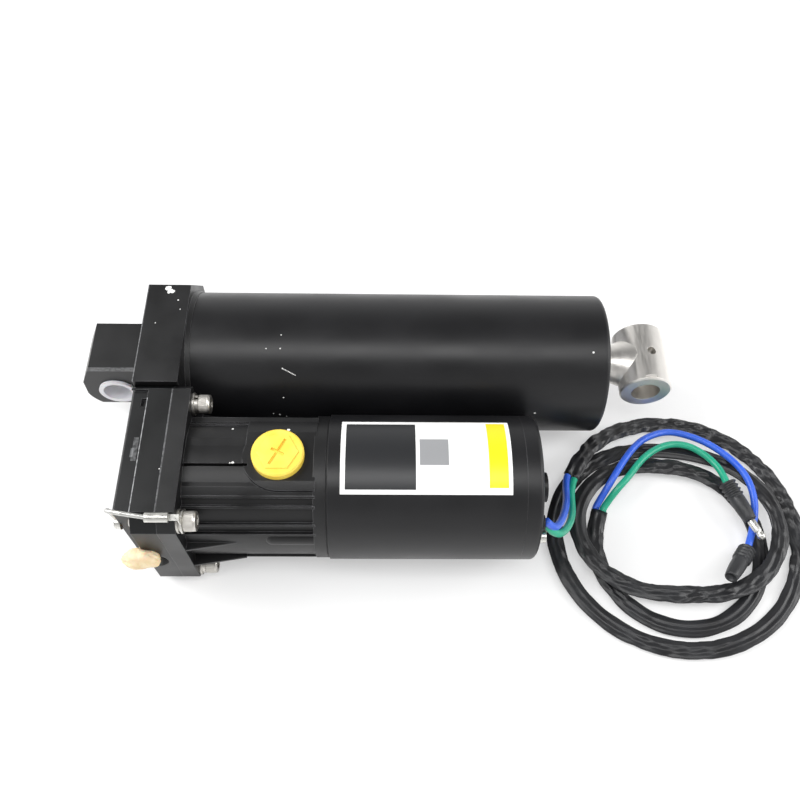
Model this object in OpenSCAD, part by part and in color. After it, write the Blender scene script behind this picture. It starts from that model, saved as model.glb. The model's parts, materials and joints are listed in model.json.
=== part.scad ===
// Single-ram power trim and tilt unit, lying on its side as on a bench.
// Millimetres. X runs along the ram from the base pivot to the rod eye, Y points to the back
// and Z points up. The origin is the centre of the base pivot bore.

/* [Layout] */
// End of the ram tube to the rod eye with the ram in
eye_stand = 27.5; // [24:0.5:40]
// Height of the ram axis over the base pivot
axis_rise = 8.5; // [4:0.5:10]

/* [Pivot lug and bushes] */
// Width of the lug along the pivot
lug_w = 30; // [26:1:34]
// Pivot centre to the nose of the lug
lug_nose_r = 18.5; // [17:0.5:20]
// Pivot centre to the top of the lug
lug_top = 23.5; // [20:0.5:26]
// Pivot centre to the underside of the lug
lug_drop = 13.5; // [12.5:0.5:15]
// Pivot centre to the base block
lug_reach = 24; // [20:1:28]
// Bore of the pivot bushes
pivot_bore_d = 16; // [14:0.5:17]
// Wall of the pivot bushes
bush_wall = 1.5; // [1:0.1:1.8]
// Flange diameter of the pivot bushes
bush_flange_d = 21; // [20.5:0.5:24]
// Flange thickness of the pivot bushes
bush_flange_t = 1.5; // [1:0.25:2.5]

/* [Base block] */
// Thickness of the base block along the ram
block_t = 23; // [21:1:26]
// Metal of the block over the ram tube
block_over = 2; // [1:0.5:5]
// Metal of the block between the tube and the pump manifold
block_side = 0.5; // [0.5:0.25:1]
// Metal of the block behind the tube
block_behind = 2; // [1:0.5:5]
// Depth of the socket that holds the ram tube
tube_socket = 12; // [9:0.5:13]
// Depth of the seat of the inner barrel below that socket
barrel_seat = 3; // [2:0.25:4]
// Height of the fillet ring where the tube meets the block
collar_h = 1.6; // [1:0.1:1.9]

/* [Ram tube] */
// Outside diameter of the ram tube
tube_od = 78; // [76:0.5:79]
// Wall of the ram tube
tube_wall = 4; // [3.5:0.25:4.5]
// Length of the ram tube past the base block
tube_len = 227.5; // [220:0.5:232]
// Rounding of the open end of the tube
tube_round = 2.5; // [1.5:0.25:3.5]
// Oil passage between the tube and the inner barrel
oil_gap = 3; // [2:0.25:4]
// Wall of the inner barrel
barrel_wall = 3.5; // [3:0.25:4]

/* [Ram] */
// Diameter of the rod
rod_d = 19; // [17:0.5:20]
// Travel of the ram
ram_stroke = 152; // [120:1:160]
// Length of the rod piston
piston_l = 24; // [20:1:26]
// Length of the memory piston
memory_l = 14; // [12:1:16]
// Length of the rod gland
gland_l = 28; // [26:1:32]
// Depth of the gland below the end of the tube
gland_recess = 4; // [3:0.5:6]
// Outside diameter of the rod eye
eye_od = 29; // [28:0.5:31]
// Width of the rod eye
eye_w = 38; // [34:1:42]
// Bore of the rod eye
eye_bore_d = 16; // [14:0.5:18]
// Hole across the wall of the rod eye
eye_cross_d = 5; // [3.5:0.5:6]

/* [Pump manifold] */
// Thickness of the manifold along the ram
manifold_t = 21; // [20:0.5:24]
// Half the width of the manifold, front to back
manifold_half_y = 39.5; // [39:0.5:39.5]
// Half the height of the manifold
manifold_half_z = 39; // [38:0.5:39]
// Chamfer of the front corners
corner_cut = 8; // [6:0.5:9]
// Width of the lower land on the outer side
land_t = 8.5; // [7:0.5:10]
// Depth of that land
land_drop = 1.5; // [1:0.25:2.5]
// Distance from the land to the front face
land_setback = 8.5; // [7:0.5:10]
// Diameter of the port in the front face
port_d = 17; // [14:0.5:18]
// Depth of that port
port_depth = 14; // [10:0.5:16]

/* [Reservoir] */
// Thickness of the reservoir flange
flange_t = 9; // [8:0.5:11]
// Length of the cast body between flange and rim
cast_l = 64; // [60:1:70]
// Cast body inside the front and back faces of the flange
cast_inset = 4; // [3.5:0.25:5]
// Wall of the cast body
cast_wall = 4; // [3.5:0.25:4.5]
// Length of the rim
rim_l = 7; // [6:0.5:9]
// Rim inside the front and back faces of the flange
rim_inset = 2.2; // [1.8:0.1:2.8]
// Motor axis to the lower deck of the casting
deck_rise = 33; // [32.5:0.25:34]
// Motor axis to the pad round the filler
pad_rise = 35.5; // [35:0.25:36]
// Diameter of the yellow fill plug
plug_d = 26; // [24:0.5:28]
// Height of the head of the fill plug
plug_h = 4.6; // [4:0.2:6]
// Thread diameter of the fill plug
plug_thread_d = 18; // [16:0.5:19]
// Thread pitch of the fill plug
plug_pitch = 2; // [1.5:0.25:2.5]

/* [Screws] */
// Screw axis to the front and back of the flange
screw_inset_y = 7; // [7:0.25:8]
// Screw axis to the top and bottom of the flange
screw_inset_z = 9; // [8.5:0.25:10]
// Thread diameter of the flange screws
screw_d = 6; // [5:0.5:6]
// Head diameter of the flange screws
screw_head_d = 10; // [9:0.5:10.5]
// Length of thread in the manifold
screw_bite = 14; // [10:1:15]

/* [Motor] */
// Motor can inside the front and back faces of the flange
can_inset = 1.4; // [1.2:0.1:2]
// Wall of the motor can
can_wall = 3; // [2.5:0.25:3.5]
// Length of the motor can
can_l = 98.5; // [95:0.5:110]
// Length of the end cap
cap_l = 8.5; // [8:0.5:11]
// Diameter of the bearing boss
boss_d = 16; // [15:0.5:18]
// Length of the bearing boss
boss_l = 7.5; // [6:0.5:9]
// Diameter of the motor shaft
shaft_d = 10; // [8:0.5:10]
// Room between the can and the armature, for the magnets
field_room = 9.1; // [8:0.1:11]
// Thickness of the blank sticker
sticker_t = 0.2; // [0.15:0.05:0.3]

/* [Pump gears] */
// Teeth on each pump gear
gear_teeth = 12; // [12:4:12]
// Gear module
gear_module = 1.25; // [1.2:0.05:1.3]
// Width of the pump gears
gear_w = 12; // [9:1:14]

/* [Harness] */
// Diameter of the insulated leads
lead_d = 3; // [2.6:0.1:3.2]
// Width of the flat sleeve
sleeve_w = 10; // [9:0.2:10]
// Thickness of the flat sleeve
sleeve_t = 4.6; // [4:0.2:4.6]
// Greatest radius of the coiled sleeve
coil_r = 68; // [66:0.5:70]

/* [Hidden] */
$fn = 64;
overrun = 1;
seat_clear = 0.02;
run_clear = 0.05;
part_gap = 0.3;

// Places along the ram
block_x0 = lug_reach;
block_x1 = block_x0 + block_t;
socket_x = block_x1 - tube_socket;
barrel_x0 = socket_x - barrel_seat;
tube_x1 = block_x1 + tube_len;
gland_x1 = tube_x1 - gland_recess;
gland_x0 = gland_x1 - gland_l;
gland_spigot_share = 0.5;
gland_step_x = gland_x0 + gland_l * gland_spigot_share;
pivot_to_eye = tube_x1 + eye_stand;
tube_id = tube_od - 2 * tube_wall;
barrel_od = tube_id - 2 * oil_gap;
block_rise = tube_od / 2 + block_over;
block_front = tube_od / 2 + block_side;
block_back = tube_od / 2 + block_behind;
tube_drop = tube_od / 2;
spigot_step = 1.5;
barrel_id = barrel_od - 2 * barrel_wall;
memory_x0 = barrel_x0 + overrun;
memory_x1 = memory_x0 + memory_l;
piston_x0 = memory_x1 + part_gap;
piston_x1 = piston_x0 + piston_l;
running_od = barrel_id - 2 * run_clear;
rod_spigot_d = rod_d * 0.74;
nut_flats = 22;
nut_t = 8;
nut_room = 1;
ring_w = 3;
ring_depth = 2.5;
eye_neck_d = rod_d + 3;
eye_neck_l = 4;

// Places along the motor
motor_offset = block_front + manifold_half_y;
seam_x = block_x0 + manifold_t;
flange_x1 = seam_x + flange_t;
rim_x0 = flange_x1 + cast_l;
gasket_t = 0.8;
can_x0 = rim_x0 + rim_l;
can_x1 = can_x0 + can_l;
cap_x1 = can_x1 + cap_l;
boss_x1 = cap_x1 + boss_l;
motor_od = 2 * (manifold_half_y - can_inset);
cast_od = 2 * (manifold_half_y - cast_inset);
rim_od = 2 * (manifold_half_y - rim_inset);
motor_r = motor_od / 2;
cast_r = cast_od / 2;
cast_id = cast_od - 2 * cast_wall;
can_id = motor_od - 2 * can_wall;
armature_d = can_id - 2 * field_room;
plate_l = 6;
plate_x1 = can_x0 + plate_l;

// Places a child at the ram axis or at the motor axis
module at_ram() {
    translate([0, 0, axis_rise]) children();
}

module at_motor() {
    translate([0, -motor_offset, axis_rise]) children();
}

// Round bar, cone and ring along X
module bar_x(x0, x1, d) {
    translate([x0, 0, 0]) rotate([0, 90, 0]) cylinder(d = d, h = x1 - x0);
}

module cone_x(x0, x1, d0, d1) {
    translate([x0, 0, 0]) rotate([0, 90, 0]) cylinder(d1 = d0, d2 = d1, h = x1 - x0);
}

module ring_x(x0, x1, d_out, d_in) {
    difference() {
        bar_x(x0, x1, d_out);
        bar_x(x0 - overrun, x1 + overrun, d_in);
    }
}

// Round bar along Y, and one that stands up
module bar_y(y0, y1, d) {
    translate([0, y1, 0]) rotate([90, 0, 0]) cylinder(d = d, h = y1 - y0);
}

module post(z0, z1, d) {
    translate([0, 0, z0]) cylinder(d = d, h = z1 - z0);
}

// Outline in Y and Z extruded along X, and outline in X and Z extruded along Y
module prism_x(x0, x1) {
    translate([x0, 0, 0]) rotate([90, 0, 90]) linear_extrude(x1 - x0) children();
}

module prism_y(y0, y1) {
    translate([0, y1, 0]) rotate([90, 0, 0]) linear_extrude(y1 - y0) children();
}

// O-ring round the X axis, and the groove it lies in
module o_ring_x(x, r, cord) {
    translate([x, 0, 0]) rotate([0, 90, 0]) rotate_extrude() translate([r, 0]) circle(d = cord, $fn = 24);
}

// Box between two corners
module box(low, high) {
    translate(low) cube(high - low);
}

// Copies turned round the X axis, by angle from the top towards the back
module round_x(angles, r) {
    for (a = angles) translate([0, r * sin(a), r * cos(a)]) children();
}

function arc(cx, cy, r, a0, a1, steps) =
    [for (i = [0:steps]) [cx + r * cos(a0 + (a1 - a0) * i / steps),
        cy + r * sin(a0 + (a1 - a0) * i / steps)]];

function across_flats(size) = size / cos(30);

// Base block with the pivot lug and the collar round the tube
lug_slope_share = 0.57;
lug_face_share = 0.95;
lug_low_share = 0.17;
block_low_share = 0.56;
block_rise_share = 0.415;
block_top_share = 0.55;
block_foot_share = 0.66;
bush_od = pivot_bore_d + 2 * bush_wall;
collar_l = 2.5;
collar_lip = 0.2;
block_bolt_inset = 4;
block_bolt_x = block_x0 + block_bolt_inset;
block_bolt_z = 15.2;
block_bolt_d = 5;
block_bolt_head_d = 8.5;
block_bolt_head_l = 5;
block_bolt_bite = 12;
block_bolt_seat = block_back * 0.68;
passage_d = 3.2;
passage_z = 8;
passage_cord = 2;
passage_groove = 1.5;

module block_outline() {
    polygon([
        [-block_front, block_rise],
        [block_back * block_top_share, block_rise],
        [block_back, block_rise * block_rise_share],
        [block_back, -tube_drop * block_low_share],
        [block_back * block_foot_share, -tube_drop],
        [-block_front, -tube_drop]
    ]);
}

module lug_outline() {
    polygon(concat(
        [
            [block_x0 + overrun, lug_top],
            [-lug_nose_r * lug_slope_share, lug_top],
            [-lug_nose_r * lug_face_share, lug_top * 0.36],
        ],
        arc(0, 0, lug_nose_r, 190, 180 + asin(lug_drop / lug_nose_r), 8),
        [[block_x0 + overrun, -lug_drop]]
    ));
}

module base_block() {
    color("#1f2022") difference() {
        union() {
            at_ram() prism_x(block_x0, block_x1) block_outline();
            prism_y(-lug_w / 2, lug_w / 2) lug_outline();
            at_ram() intersection() {
                cone_x(block_x1 - overrun, block_x1 + collar_l, tube_od + 2 * collar_h,
                    tube_od + 2 * collar_lip);
                box([block_x0, -block_front, -tube_drop], [tube_x1, block_back, block_rise]);
            }
        }
        bar_y(-lug_w, lug_w, bush_od + 2 * seat_clear);
        at_ram() {
            bar_x(socket_x, block_x1, tube_od - 2 * spigot_step + 2 * seat_clear);
            bar_x(block_x1, block_x1 + 2 * collar_l, tube_od + 2 * seat_clear);
            bar_x(barrel_x0, block_x1, barrel_od + 2 * seat_clear);
            for (side = [-1, 1]) {
                translate([block_bolt_x, 0, side * block_bolt_z]) {
                    bar_y(-block_front - overrun, block_back, block_bolt_d + 2 * part_gap);
                    bar_y(block_bolt_seat, block_back + overrun, block_bolt_head_d + 2 * part_gap);
                }
                translate([block_bolt_x, 0, side * passage_z]) {
                    bar_y(-block_front - overrun, -block_front * 0.4, passage_d);
                    difference() {
                        bar_y(-block_front - overrun, -block_front + passage_groove, passage_d * 2.6);
                        bar_y(-block_front - overrun, -block_front + passage_groove, passage_d * 1.4);
                    }
                }
            }
            translate([0, -block_front * 0.5, -passage_z]) bar_x(block_bolt_x, barrel_x0 + overrun,
                passage_d);
        }
    }
}

module pivot_bush() {
    color("#f1efe8") difference() {
        union() {
            bar_y(-lug_w / 2 - bush_flange_t, -lug_w / 2, bush_flange_d);
            bar_y(-lug_w / 2, -part_gap, bush_od);
        }
        bar_y(-lug_w, lug_w, pivot_bore_d);
    }
}

module pivot_bush_front() {
    pivot_bush();
}

module pivot_bush_back() {
    mirror([0, 1, 0]) pivot_bush();
}

// Ram tube, inner barrel and gland
module ram_tube() {
    r = tube_od / 2;
    color("#1b1c1e") at_ram() rotate([0, 90, 0]) rotate_extrude() polygon(concat(
        [
            [tube_id / 2, socket_x],
            [r - spigot_step, socket_x],
            [r - spigot_step, block_x1],
            [r, block_x1],
        ],
        arc(r - tube_round, tube_x1 - tube_round, tube_round, 0, 90, 8),
        [[tube_id / 2, tube_x1]]
    ));
}

module inner_barrel() {
    color("#8f9398") at_ram() ring_x(barrel_x0, gland_step_x, barrel_od, barrel_id);
}

gland_cord = 3;
gland_ring_r = tube_id / 2 - gland_cord / 2;
seal_w = 5;
seal_depth = 3;
pin_hole_d = 5;
pin_hole_depth = 4;

module rod_gland() {
    seal_x = gland_step_x - seal_w / 2;
    color("#2b2c2f") at_ram() difference() {
        union() {
            bar_x(gland_x0, gland_step_x + overrun, barrel_id - 2 * seat_clear);
            bar_x(gland_step_x, gland_x1, tube_id - 2 * seat_clear);
        }
        bar_x(gland_x0 - overrun, gland_x1 + overrun, rod_d + 2 * run_clear);
        bar_x(seal_x, seal_x + seal_w, rod_d + 2 * seal_depth);
        bar_x(gland_x1 - seal_w, gland_x1 + overrun, rod_d + 2 * seal_depth);
        ring_x(gland_step_x + gland_cord, gland_step_x + 2 * gland_cord + part_gap, tube_od,
            2 * (gland_ring_r - gland_cord / 2 - seat_clear));
        round_x([45, 225], (tube_id + rod_d) / 4) bar_x(gland_x1 - pin_hole_depth, gland_x1 + overrun,
            pin_hole_d);
    }
}

module gland_o_ring() {
    color("#101010") at_ram() o_ring_x(gland_step_x + 1.5 * gland_cord + part_gap / 2,
        gland_ring_r - seat_clear, gland_cord);
}

// Wiper in the face of the gland and pressure seal further in
module rod_seal() {
    color("#3a3b3d") at_ram() {
        ring_x(gland_x1 - seal_w, gland_x1 - seat_clear, rod_d + 2 * seal_depth - 2 * seat_clear,
            rod_d + 2 * run_clear);
        ring_x(gland_step_x - seal_w / 2, gland_step_x + seal_w / 2,
            rod_d + 2 * seal_depth - 2 * seat_clear, rod_d + 2 * run_clear);
    }
}

// Rod, eye and pistons
module ram_rod() {
    eye_r = eye_od / 2;
    color("#d9dadb") at_ram() difference() {
        union() {
            bar_x(piston_x0 + nut_room, piston_x1 + overrun, rod_spigot_d);
            bar_x(piston_x1, pivot_to_eye, rod_d);
            cone_x(pivot_to_eye - eye_r - eye_neck_l, pivot_to_eye - eye_r / 2, rod_d, eye_neck_d + 2);
        }
        translate([pivot_to_eye, 0, 0]) bar_y(-eye_w, eye_w, eye_od);
    }
}

eye_edge = 0.8;
cross_tilt = 10;
notch_w = 7;
notch_depth = 1.2;

module rod_eye() {
    r = eye_od / 2;
    color("#e4e5e6") translate([pivot_to_eye, 0, axis_rise]) difference() {
        rotate([90, 0, 0]) rotate_extrude() polygon([
            [eye_bore_d / 2, -eye_w / 2],
            [r - eye_edge, -eye_w / 2],
            [r, -eye_w / 2 + eye_edge],
            [r, eye_w / 2 - eye_edge],
            [r - eye_edge, eye_w / 2],
            [eye_bore_d / 2, eye_w / 2]
        ]);
        rotate([0, cross_tilt, 0]) post(0, eye_od, eye_cross_d);
        translate([0, -eye_w / 2, r + notch_w / 2 - notch_depth]) rotate([45, 0,
            0]) translate([-notch_w / 2, -notch_depth, -notch_w / 2]) cube([notch_w, notch_depth * 2,
                notch_w]);
    }
}

shock_ball_d = 5;
shock_hole_depth = 12;
shock_r = barrel_id * 0.36;

module ram_piston() {
    mid = (piston_x0 + piston_x1) / 2;
    color("#b9a36a") at_ram() difference() {
        bar_x(piston_x0, piston_x1, running_od);
        bar_x(piston_x0 - overrun, piston_x1 + overrun, rod_spigot_d + 2 * seat_clear);
        bar_x(piston_x0 - overrun, piston_x0 + nut_room + nut_t, across_flats(nut_flats) + 2 * nut_room);
        ring_x(mid - ring_w / 2, mid + ring_w / 2, tube_od, running_od - 2 * ring_depth);
        round_x([45, 135, 225, 315], shock_r) {
            bar_x(piston_x1 - shock_hole_depth, piston_x1 + overrun, shock_ball_d + 2 * run_clear);
            bar_x(piston_x0 - overrun, piston_x1, shock_ball_d / 2);
        }
    }
}

module piston_ring() {
    mid = (piston_x0 + piston_x1) / 2;
    color("#202022") at_ram() ring_x(mid - ring_w / 2 + seat_clear, mid + ring_w / 2 - seat_clear,
        running_od, running_od - 2 * ring_depth + 2 * seat_clear);
}

module piston_nut() {
    color("#9a9ca0") at_ram() difference() {
        translate([piston_x0 + nut_room, 0, 0]) rotate([0, 90,
            0]) cylinder(d = across_flats(nut_flats), h = nut_t, $fn = 6);
        bar_x(piston_x0, piston_x1, rod_spigot_d + 2 * seat_clear);
    }
}

module shock_balls() {
    x = piston_x1 - shock_hole_depth + shock_ball_d / 2 + seat_clear;
    color("#c9cbce") at_ram() round_x([45, 135, 225, 315], shock_r) translate([x, 0,
        0]) sphere(d = shock_ball_d);
}

module memory_piston() {
    mid = (memory_x0 + memory_x1) / 2;
    color("#a8abb0") at_ram() difference() {
        bar_x(memory_x0, memory_x1, running_od);
        ring_x(mid - ring_w / 2, mid + ring_w / 2, tube_od, running_od - 2 * ring_depth);
        bar_x(mid + ring_w, memory_x1 + overrun, across_flats(nut_flats));
    }
}

module memory_ring() {
    mid = (memory_x0 + memory_x1) / 2;
    color("#202022") at_ram() ring_x(mid - ring_w / 2 + seat_clear, mid + ring_w / 2 - seat_clear,
        running_od, running_od - 2 * ring_depth + 2 * seat_clear);
}

// Pump manifold
back_cut = 3;
land_edge = 1;
notch_x = 3;
notch_y = 4.5;
notch_z = 3;
notch_back_share = 0.73;
port_x = block_x0 + manifold_t * 0.476;
port_z = -manifold_half_z * 0.154;
spool_x = block_x0 + manifold_t * 0.57;
spool_y = manifold_half_y * 0.2;
spool_bore_d = 12;
spool_l = 20;
spool_travel = 2;
spool_wall = 0.5;
check_l = 11;
plug_l = 10;
plug_z = -manifold_half_z + spool_wall;
check_low_z = plug_z + plug_l;
spool_z = check_low_z + check_l + spool_travel + spool_wall;
check_top_z = spool_z + spool_l + spool_travel + spool_wall;
spool_bore_top = check_top_z + check_l;
valve_y = -manifold_half_y * 0.3;
valve_z = manifold_half_z * 0.13;
valve_d = 10;
valve_recess = 3;
valve_l = 11;
valve_tip_l = 3;
valve_cord = 2;
screw_y = manifold_half_y - screw_inset_y;
screw_z = manifold_half_z - screw_inset_z;
screw_tip_x = seam_x - screw_bite;

module manifold_outline() {
    y = manifold_half_y;
    z = manifold_half_z;
    polygon([
        [-y + corner_cut, z],
        [y - back_cut, z],
        [y, z - back_cut],
        [y, -z],
        [-y + corner_cut, -z],
        [-y, -z + corner_cut],
        [-y, z - corner_cut]
    ]);
}

module pump_manifold() {
    y = manifold_half_y;
    z = manifold_half_z;
    color("#202124") at_motor() difference() {
        prism_x(block_x0, seam_x) manifold_outline();
        box([block_x0 - overrun, -y - overrun, z - land_drop], [block_x0 + land_t,
            y - back_cut - land_edge, z + overrun]);
        box([block_x0 - overrun, -y - overrun, -z - overrun], [block_x0 + land_t, -y + land_setback,
            z + overrun]);
        prism_y(-y - overrun, y + overrun) polygon([
            [block_x0 - overrun, z - land_drop - land_edge - overrun],
            [block_x0 + land_edge + overrun, z - land_drop + overrun],
            [block_x0 - overrun, z - land_drop + overrun]
        ]);
        translate([block_x0 + land_t - notch_x, y * notch_back_share - notch_y / 2,
            z - notch_z]) cube([notch_x, notch_y, notch_z + overrun]);
        translate([port_x, 0, port_z]) bar_y(-y - overrun, -y + port_depth, port_d);
        for (side = [-1, 1], level = [-1, 1])
            translate([0, side * screw_y, level * screw_z]) bar_x(screw_tip_x - overrun,
                seam_x + overrun, screw_d + 2 * seat_clear);
        for (level = [-1, 1]) {
            translate([block_bolt_x, 0, level * block_bolt_z])
                bar_y(y - block_bolt_bite - overrun, y + overrun, block_bolt_d + 2 * seat_clear);
            translate([block_bolt_x, 0, level * passage_z]) bar_y(spool_y, y + overrun, passage_d);
            translate([0, spool_y, level * passage_z]) bar_x(block_bolt_x, seam_x + overrun, passage_d);
        }
        translate([spool_x, spool_y, 0]) post(-z - overrun, spool_bore_top, spool_bore_d);
        translate([0, valve_y, valve_z]) {
            bar_x(block_x0 - overrun, block_x0 + valve_recess + valve_l, valve_d + 2 * run_clear);
            bar_x(block_x0 - overrun, block_x0 + valve_recess + valve_l + valve_tip_l, valve_d / 2);
        }
        round_x(pump_screw_angles, pump_screw_r) bar_x(seam_x - pump_screw_bite, seam_x + overrun,
            pump_screw_d + 2 * seat_clear);
        translate([block_x0 - overrun, lug_screw_y, lug_screw_z]) rotate([0, 90,
            0]) cylinder(d = lug_screw_d + 2 * seat_clear, h = lug_screw_l + overrun);
    }
}

module block_bolts() {
    color("#8d9094") at_ram() for (side = [-1, 1]) translate([block_bolt_x, 0,
        side * block_bolt_z]) difference() {
        union() {
            bar_y(-block_front - block_bolt_bite, block_bolt_seat + overrun, block_bolt_d);
            bar_y(block_bolt_seat, block_bolt_seat + block_bolt_head_l, block_bolt_head_d);
        }
        translate([0, block_bolt_seat + block_bolt_head_l / 2, 0]) rotate([-90, 0,
            0]) cylinder(d = block_bolt_head_d / 2, h = block_bolt_head_l, $fn = 6);
    }
}

// Two seals round the passages to the ram, and the seal of the reservoir flange
module manifold_seals() {
    color("#101010") {
        at_ram() for (side = [-1, 1])
            translate([block_bolt_x, -block_front + passage_groove / 2, side * passage_z])
                rotate([90, 0, 0]) rotate_extrude() translate([passage_d,
                    0]) circle(d = passage_groove - 2 * seat_clear, $fn = 16);
        at_motor() o_ring_x(seam_x + seal_cord / 2, seal_r, seal_cord - 2 * run_clear);
    }
}

// Foam bung that closes the front port for shipping
foam_out = 9;
foam_d = 21;
foam_lean = 5;
foam_drop = 4;

module port_foam() {
    y = manifold_half_y;
    color("#eadcba") at_motor() difference() {
        translate([port_x, -y, port_z]) {
            bar_y(-foam_out / 2, port_depth - part_gap, port_d - 2 * part_gap);
            translate([-foam_lean, -foam_d / 4, -foam_drop]) {
                sphere(d = foam_d);
                translate([foam_lean, 0, foam_drop / 2]) sphere(d = foam_d * 0.8);
            }
        }
        difference() {
            prism_x(block_x0 + land_t - overrun, seam_x + flange_t) manifold_outline();
            translate([port_x, 0, port_z]) bar_y(-y - overrun, y, port_d - 2 * part_gap);
        }
        difference() {
            box([0, -y + land_setback, -foam_d - overrun], [seam_x, y, foam_d]);
            translate([port_x, 0, port_z]) bar_y(-y - overrun, y, port_d - 2 * part_gap);
        }
    }
}

// Manual release valve, and its O-ring
module release_valve() {
    x = block_x0 + valve_recess;
    tip = x + valve_l;
    color("#c8a046") at_motor() translate([0, valve_y, valve_z]) difference() {
        union() {
            bar_x(x, tip - seat_clear, valve_d);
            cone_x(tip - overrun, tip + valve_tip_l - part_gap, valve_d / 2 - 2 * run_clear, valve_d / 4);
        }
        translate([x - overrun, -valve_d, -valve_tip_l / 4]) cube([overrun + valve_tip_l / 2,
            2 * valve_d, valve_tip_l / 2]);
        ring_x(tip - 2 * valve_cord, tip - valve_cord + 2 * run_clear, 2 * valve_d,
            valve_d - 2 * valve_cord);
    }
}

module release_o_ring() {
    tip = block_x0 + valve_recess + valve_l;
    color("#101010") at_motor() translate([0, valve_y, valve_z])
        ring_x(tip - 2 * valve_cord + run_clear, tip - valve_cord + run_clear, valve_d,
            valve_d - 2 * valve_cord + 2 * run_clear);
}

// Valve train in the upright bore of the manifold
module shuttle_spool() {
    land = spool_l / 5;
    color("#b7babd") at_motor() translate([spool_x, spool_y, 0]) difference() {
        post(spool_z, spool_z + spool_l, spool_bore_d - 2 * run_clear);
        for (i = [1, 3]) difference() {
            post(spool_z + i * land, spool_z + (i + 1) * land, 2 * spool_bore_d);
            post(spool_z, spool_z + spool_l, spool_bore_d * 0.7);
        }
    }
}

module check_valves() {
    color("#d0b25c") at_motor() translate([spool_x, spool_y, 0]) for (z = [check_low_z,
        check_top_z]) difference() {
        post(z, z + check_l, spool_bore_d - 2 * seat_clear);
        post(z - overrun, z + check_l + overrun, passage_d);
    }
}

module spool_plug() {
    color("#4a4c50") at_motor() translate([spool_x, spool_y, 0]) difference() {
        post(plug_z, plug_z + plug_l, spool_bore_d - 2 * seat_clear);
        translate([0, 0, plug_z - overrun]) cylinder(d = spool_bore_d / 2, h = plug_l / 2 + overrun,
            $fn = 6);
    }
}

// Gear pump
gear_r = gear_teeth * gear_module / 2;
gear_tip_share = 0.8;
gear_root_share = 1.1;
gear_tip_r = gear_r + gear_module * gear_tip_share;
gear_root_r = gear_r - gear_module * gear_root_share;
pressure_angle = 25;
gear_base_r = gear_r * cos(pressure_angle);
gear_backlash = 1.2;
gear_pocket_d = 2 * gear_tip_r + 2 * run_clear;
journal_d = shaft_d * 0.8;
pump_floor = 7;
pump_side_gap = 3.5;
pump_d = cast_id - 2 * pump_side_gap;
pump_x0 = seam_x;
gear_x0 = pump_x0 + pump_floor;
gear_x1 = gear_x0 + gear_w;
pump_cover_t = 6;
cover_x1 = gear_x1 + pump_cover_t;
pump_screw_angles = [60, 120, 240, 300];
pump_screw_inset = 6;
pump_screw_r = pump_d / 2 - pump_screw_inset;
pump_screw_d = 5;
pump_screw_bite = 8;
pump_screw_head_d = 8;
pump_screw_head_l = 4;
filter_t = 1.5;
journal_end = 2;
journal_blind = pump_floor - journal_end;
coupling_d = shaft_d * 1.6;
coupling_gap = 2;
coupling_x0 = cover_x1 + coupling_gap;
coupling_l = 20;
coupling_x1 = coupling_x0 + coupling_l;
drive_end_x = coupling_x0 + coupling_l * 0.4;
shaft_end_x = drive_end_x + overrun;

function involute(a) = tan(a) * 180 / PI - a;
function flank(r) = 90 / gear_teeth + involute(pressure_angle) - gear_backlash
    - (r > gear_base_r ? involute(acos(gear_base_r / r)) : 0);
flank_shares = [0, 0.25, 0.45, 0.6, 0.8, 1];

module gear_outline() {
    span = gear_tip_r - gear_root_r;
    polygon([
        for (i = [0:gear_teeth - 1])
            for (side = [-1, 1])
                for (k = [0:len(flank_shares) - 1])
                    let (
                        share = flank_shares[side < 0 ? k : len(flank_shares) - 1 - k],
                        r = gear_root_r + span * share,
                        a = i * 360 / gear_teeth + side * flank(r)
                    )
                    [r * cos(a), r * sin(a)]
    ]);
}

module pump_body() {
    color("#9b9ea2") at_motor() difference() {
        bar_x(pump_x0, gear_x1, pump_d);
        for (z = [0, -2 * gear_r]) translate([0, 0, z]) {
            bar_x(gear_x0, gear_x1 + overrun, gear_pocket_d);
            bar_x(gear_x0 - journal_blind, gear_x1, journal_d + 2 * run_clear);
        }
        for (level = [-1, 1]) translate([0, spool_y, level * passage_z]) bar_x(pump_x0 - overrun,
            gear_x0, passage_d);
        round_x(pump_screw_angles, pump_screw_r) bar_x(pump_x0 - overrun, gear_x1 + overrun,
            pump_screw_d + 2 * part_gap);
    }
}

module pump_cover() {
    color("#8c8f93") at_motor() difference() {
        bar_x(gear_x1, cover_x1, pump_d);
        bar_x(gear_x1 - overrun, cover_x1 + overrun, journal_d + 2 * run_clear);
        translate([0, 0, -2 * gear_r]) bar_x(gear_x1 - overrun, gear_x1 + journal_blind - overrun,
            journal_d + 2 * run_clear);
        round_x(pump_screw_angles, pump_screw_r) bar_x(gear_x1 - overrun, cover_x1 + overrun,
            pump_screw_d + 2 * part_gap);
    }
}

module pump_gear(x_end, turn) {
    translate([gear_x0 + run_clear, 0, 0]) rotate([90, 0,
        90]) linear_extrude(gear_w - 2 * run_clear) rotate(turn) gear_outline();
    bar_x(gear_x0 - journal_blind + run_clear, x_end, journal_d);
}

module drive_gear() {
    color("#c3c6ca") at_motor() pump_gear(drive_end_x, 90);
}

module driven_gear() {
    color("#c3c6ca") at_motor() translate([0, 0, -2 * gear_r])
        pump_gear(gear_x1 + journal_blind - overrun - run_clear, 90 + 180 / gear_teeth);
}

module pump_screws() {
    color("#8d9094") at_motor() round_x(pump_screw_angles, pump_screw_r) difference() {
        union() {
            bar_x(seam_x - pump_screw_bite + overrun, cover_x1 + overrun, pump_screw_d);
            bar_x(cover_x1, cover_x1 + pump_screw_head_l, pump_screw_head_d);
        }
        translate([cover_x1 + pump_screw_head_l / 2, 0, 0]) rotate([0, 90,
            0]) cylinder(d = pump_screw_head_d / 2, h = pump_screw_head_l, $fn = 6);
    }
}

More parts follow.
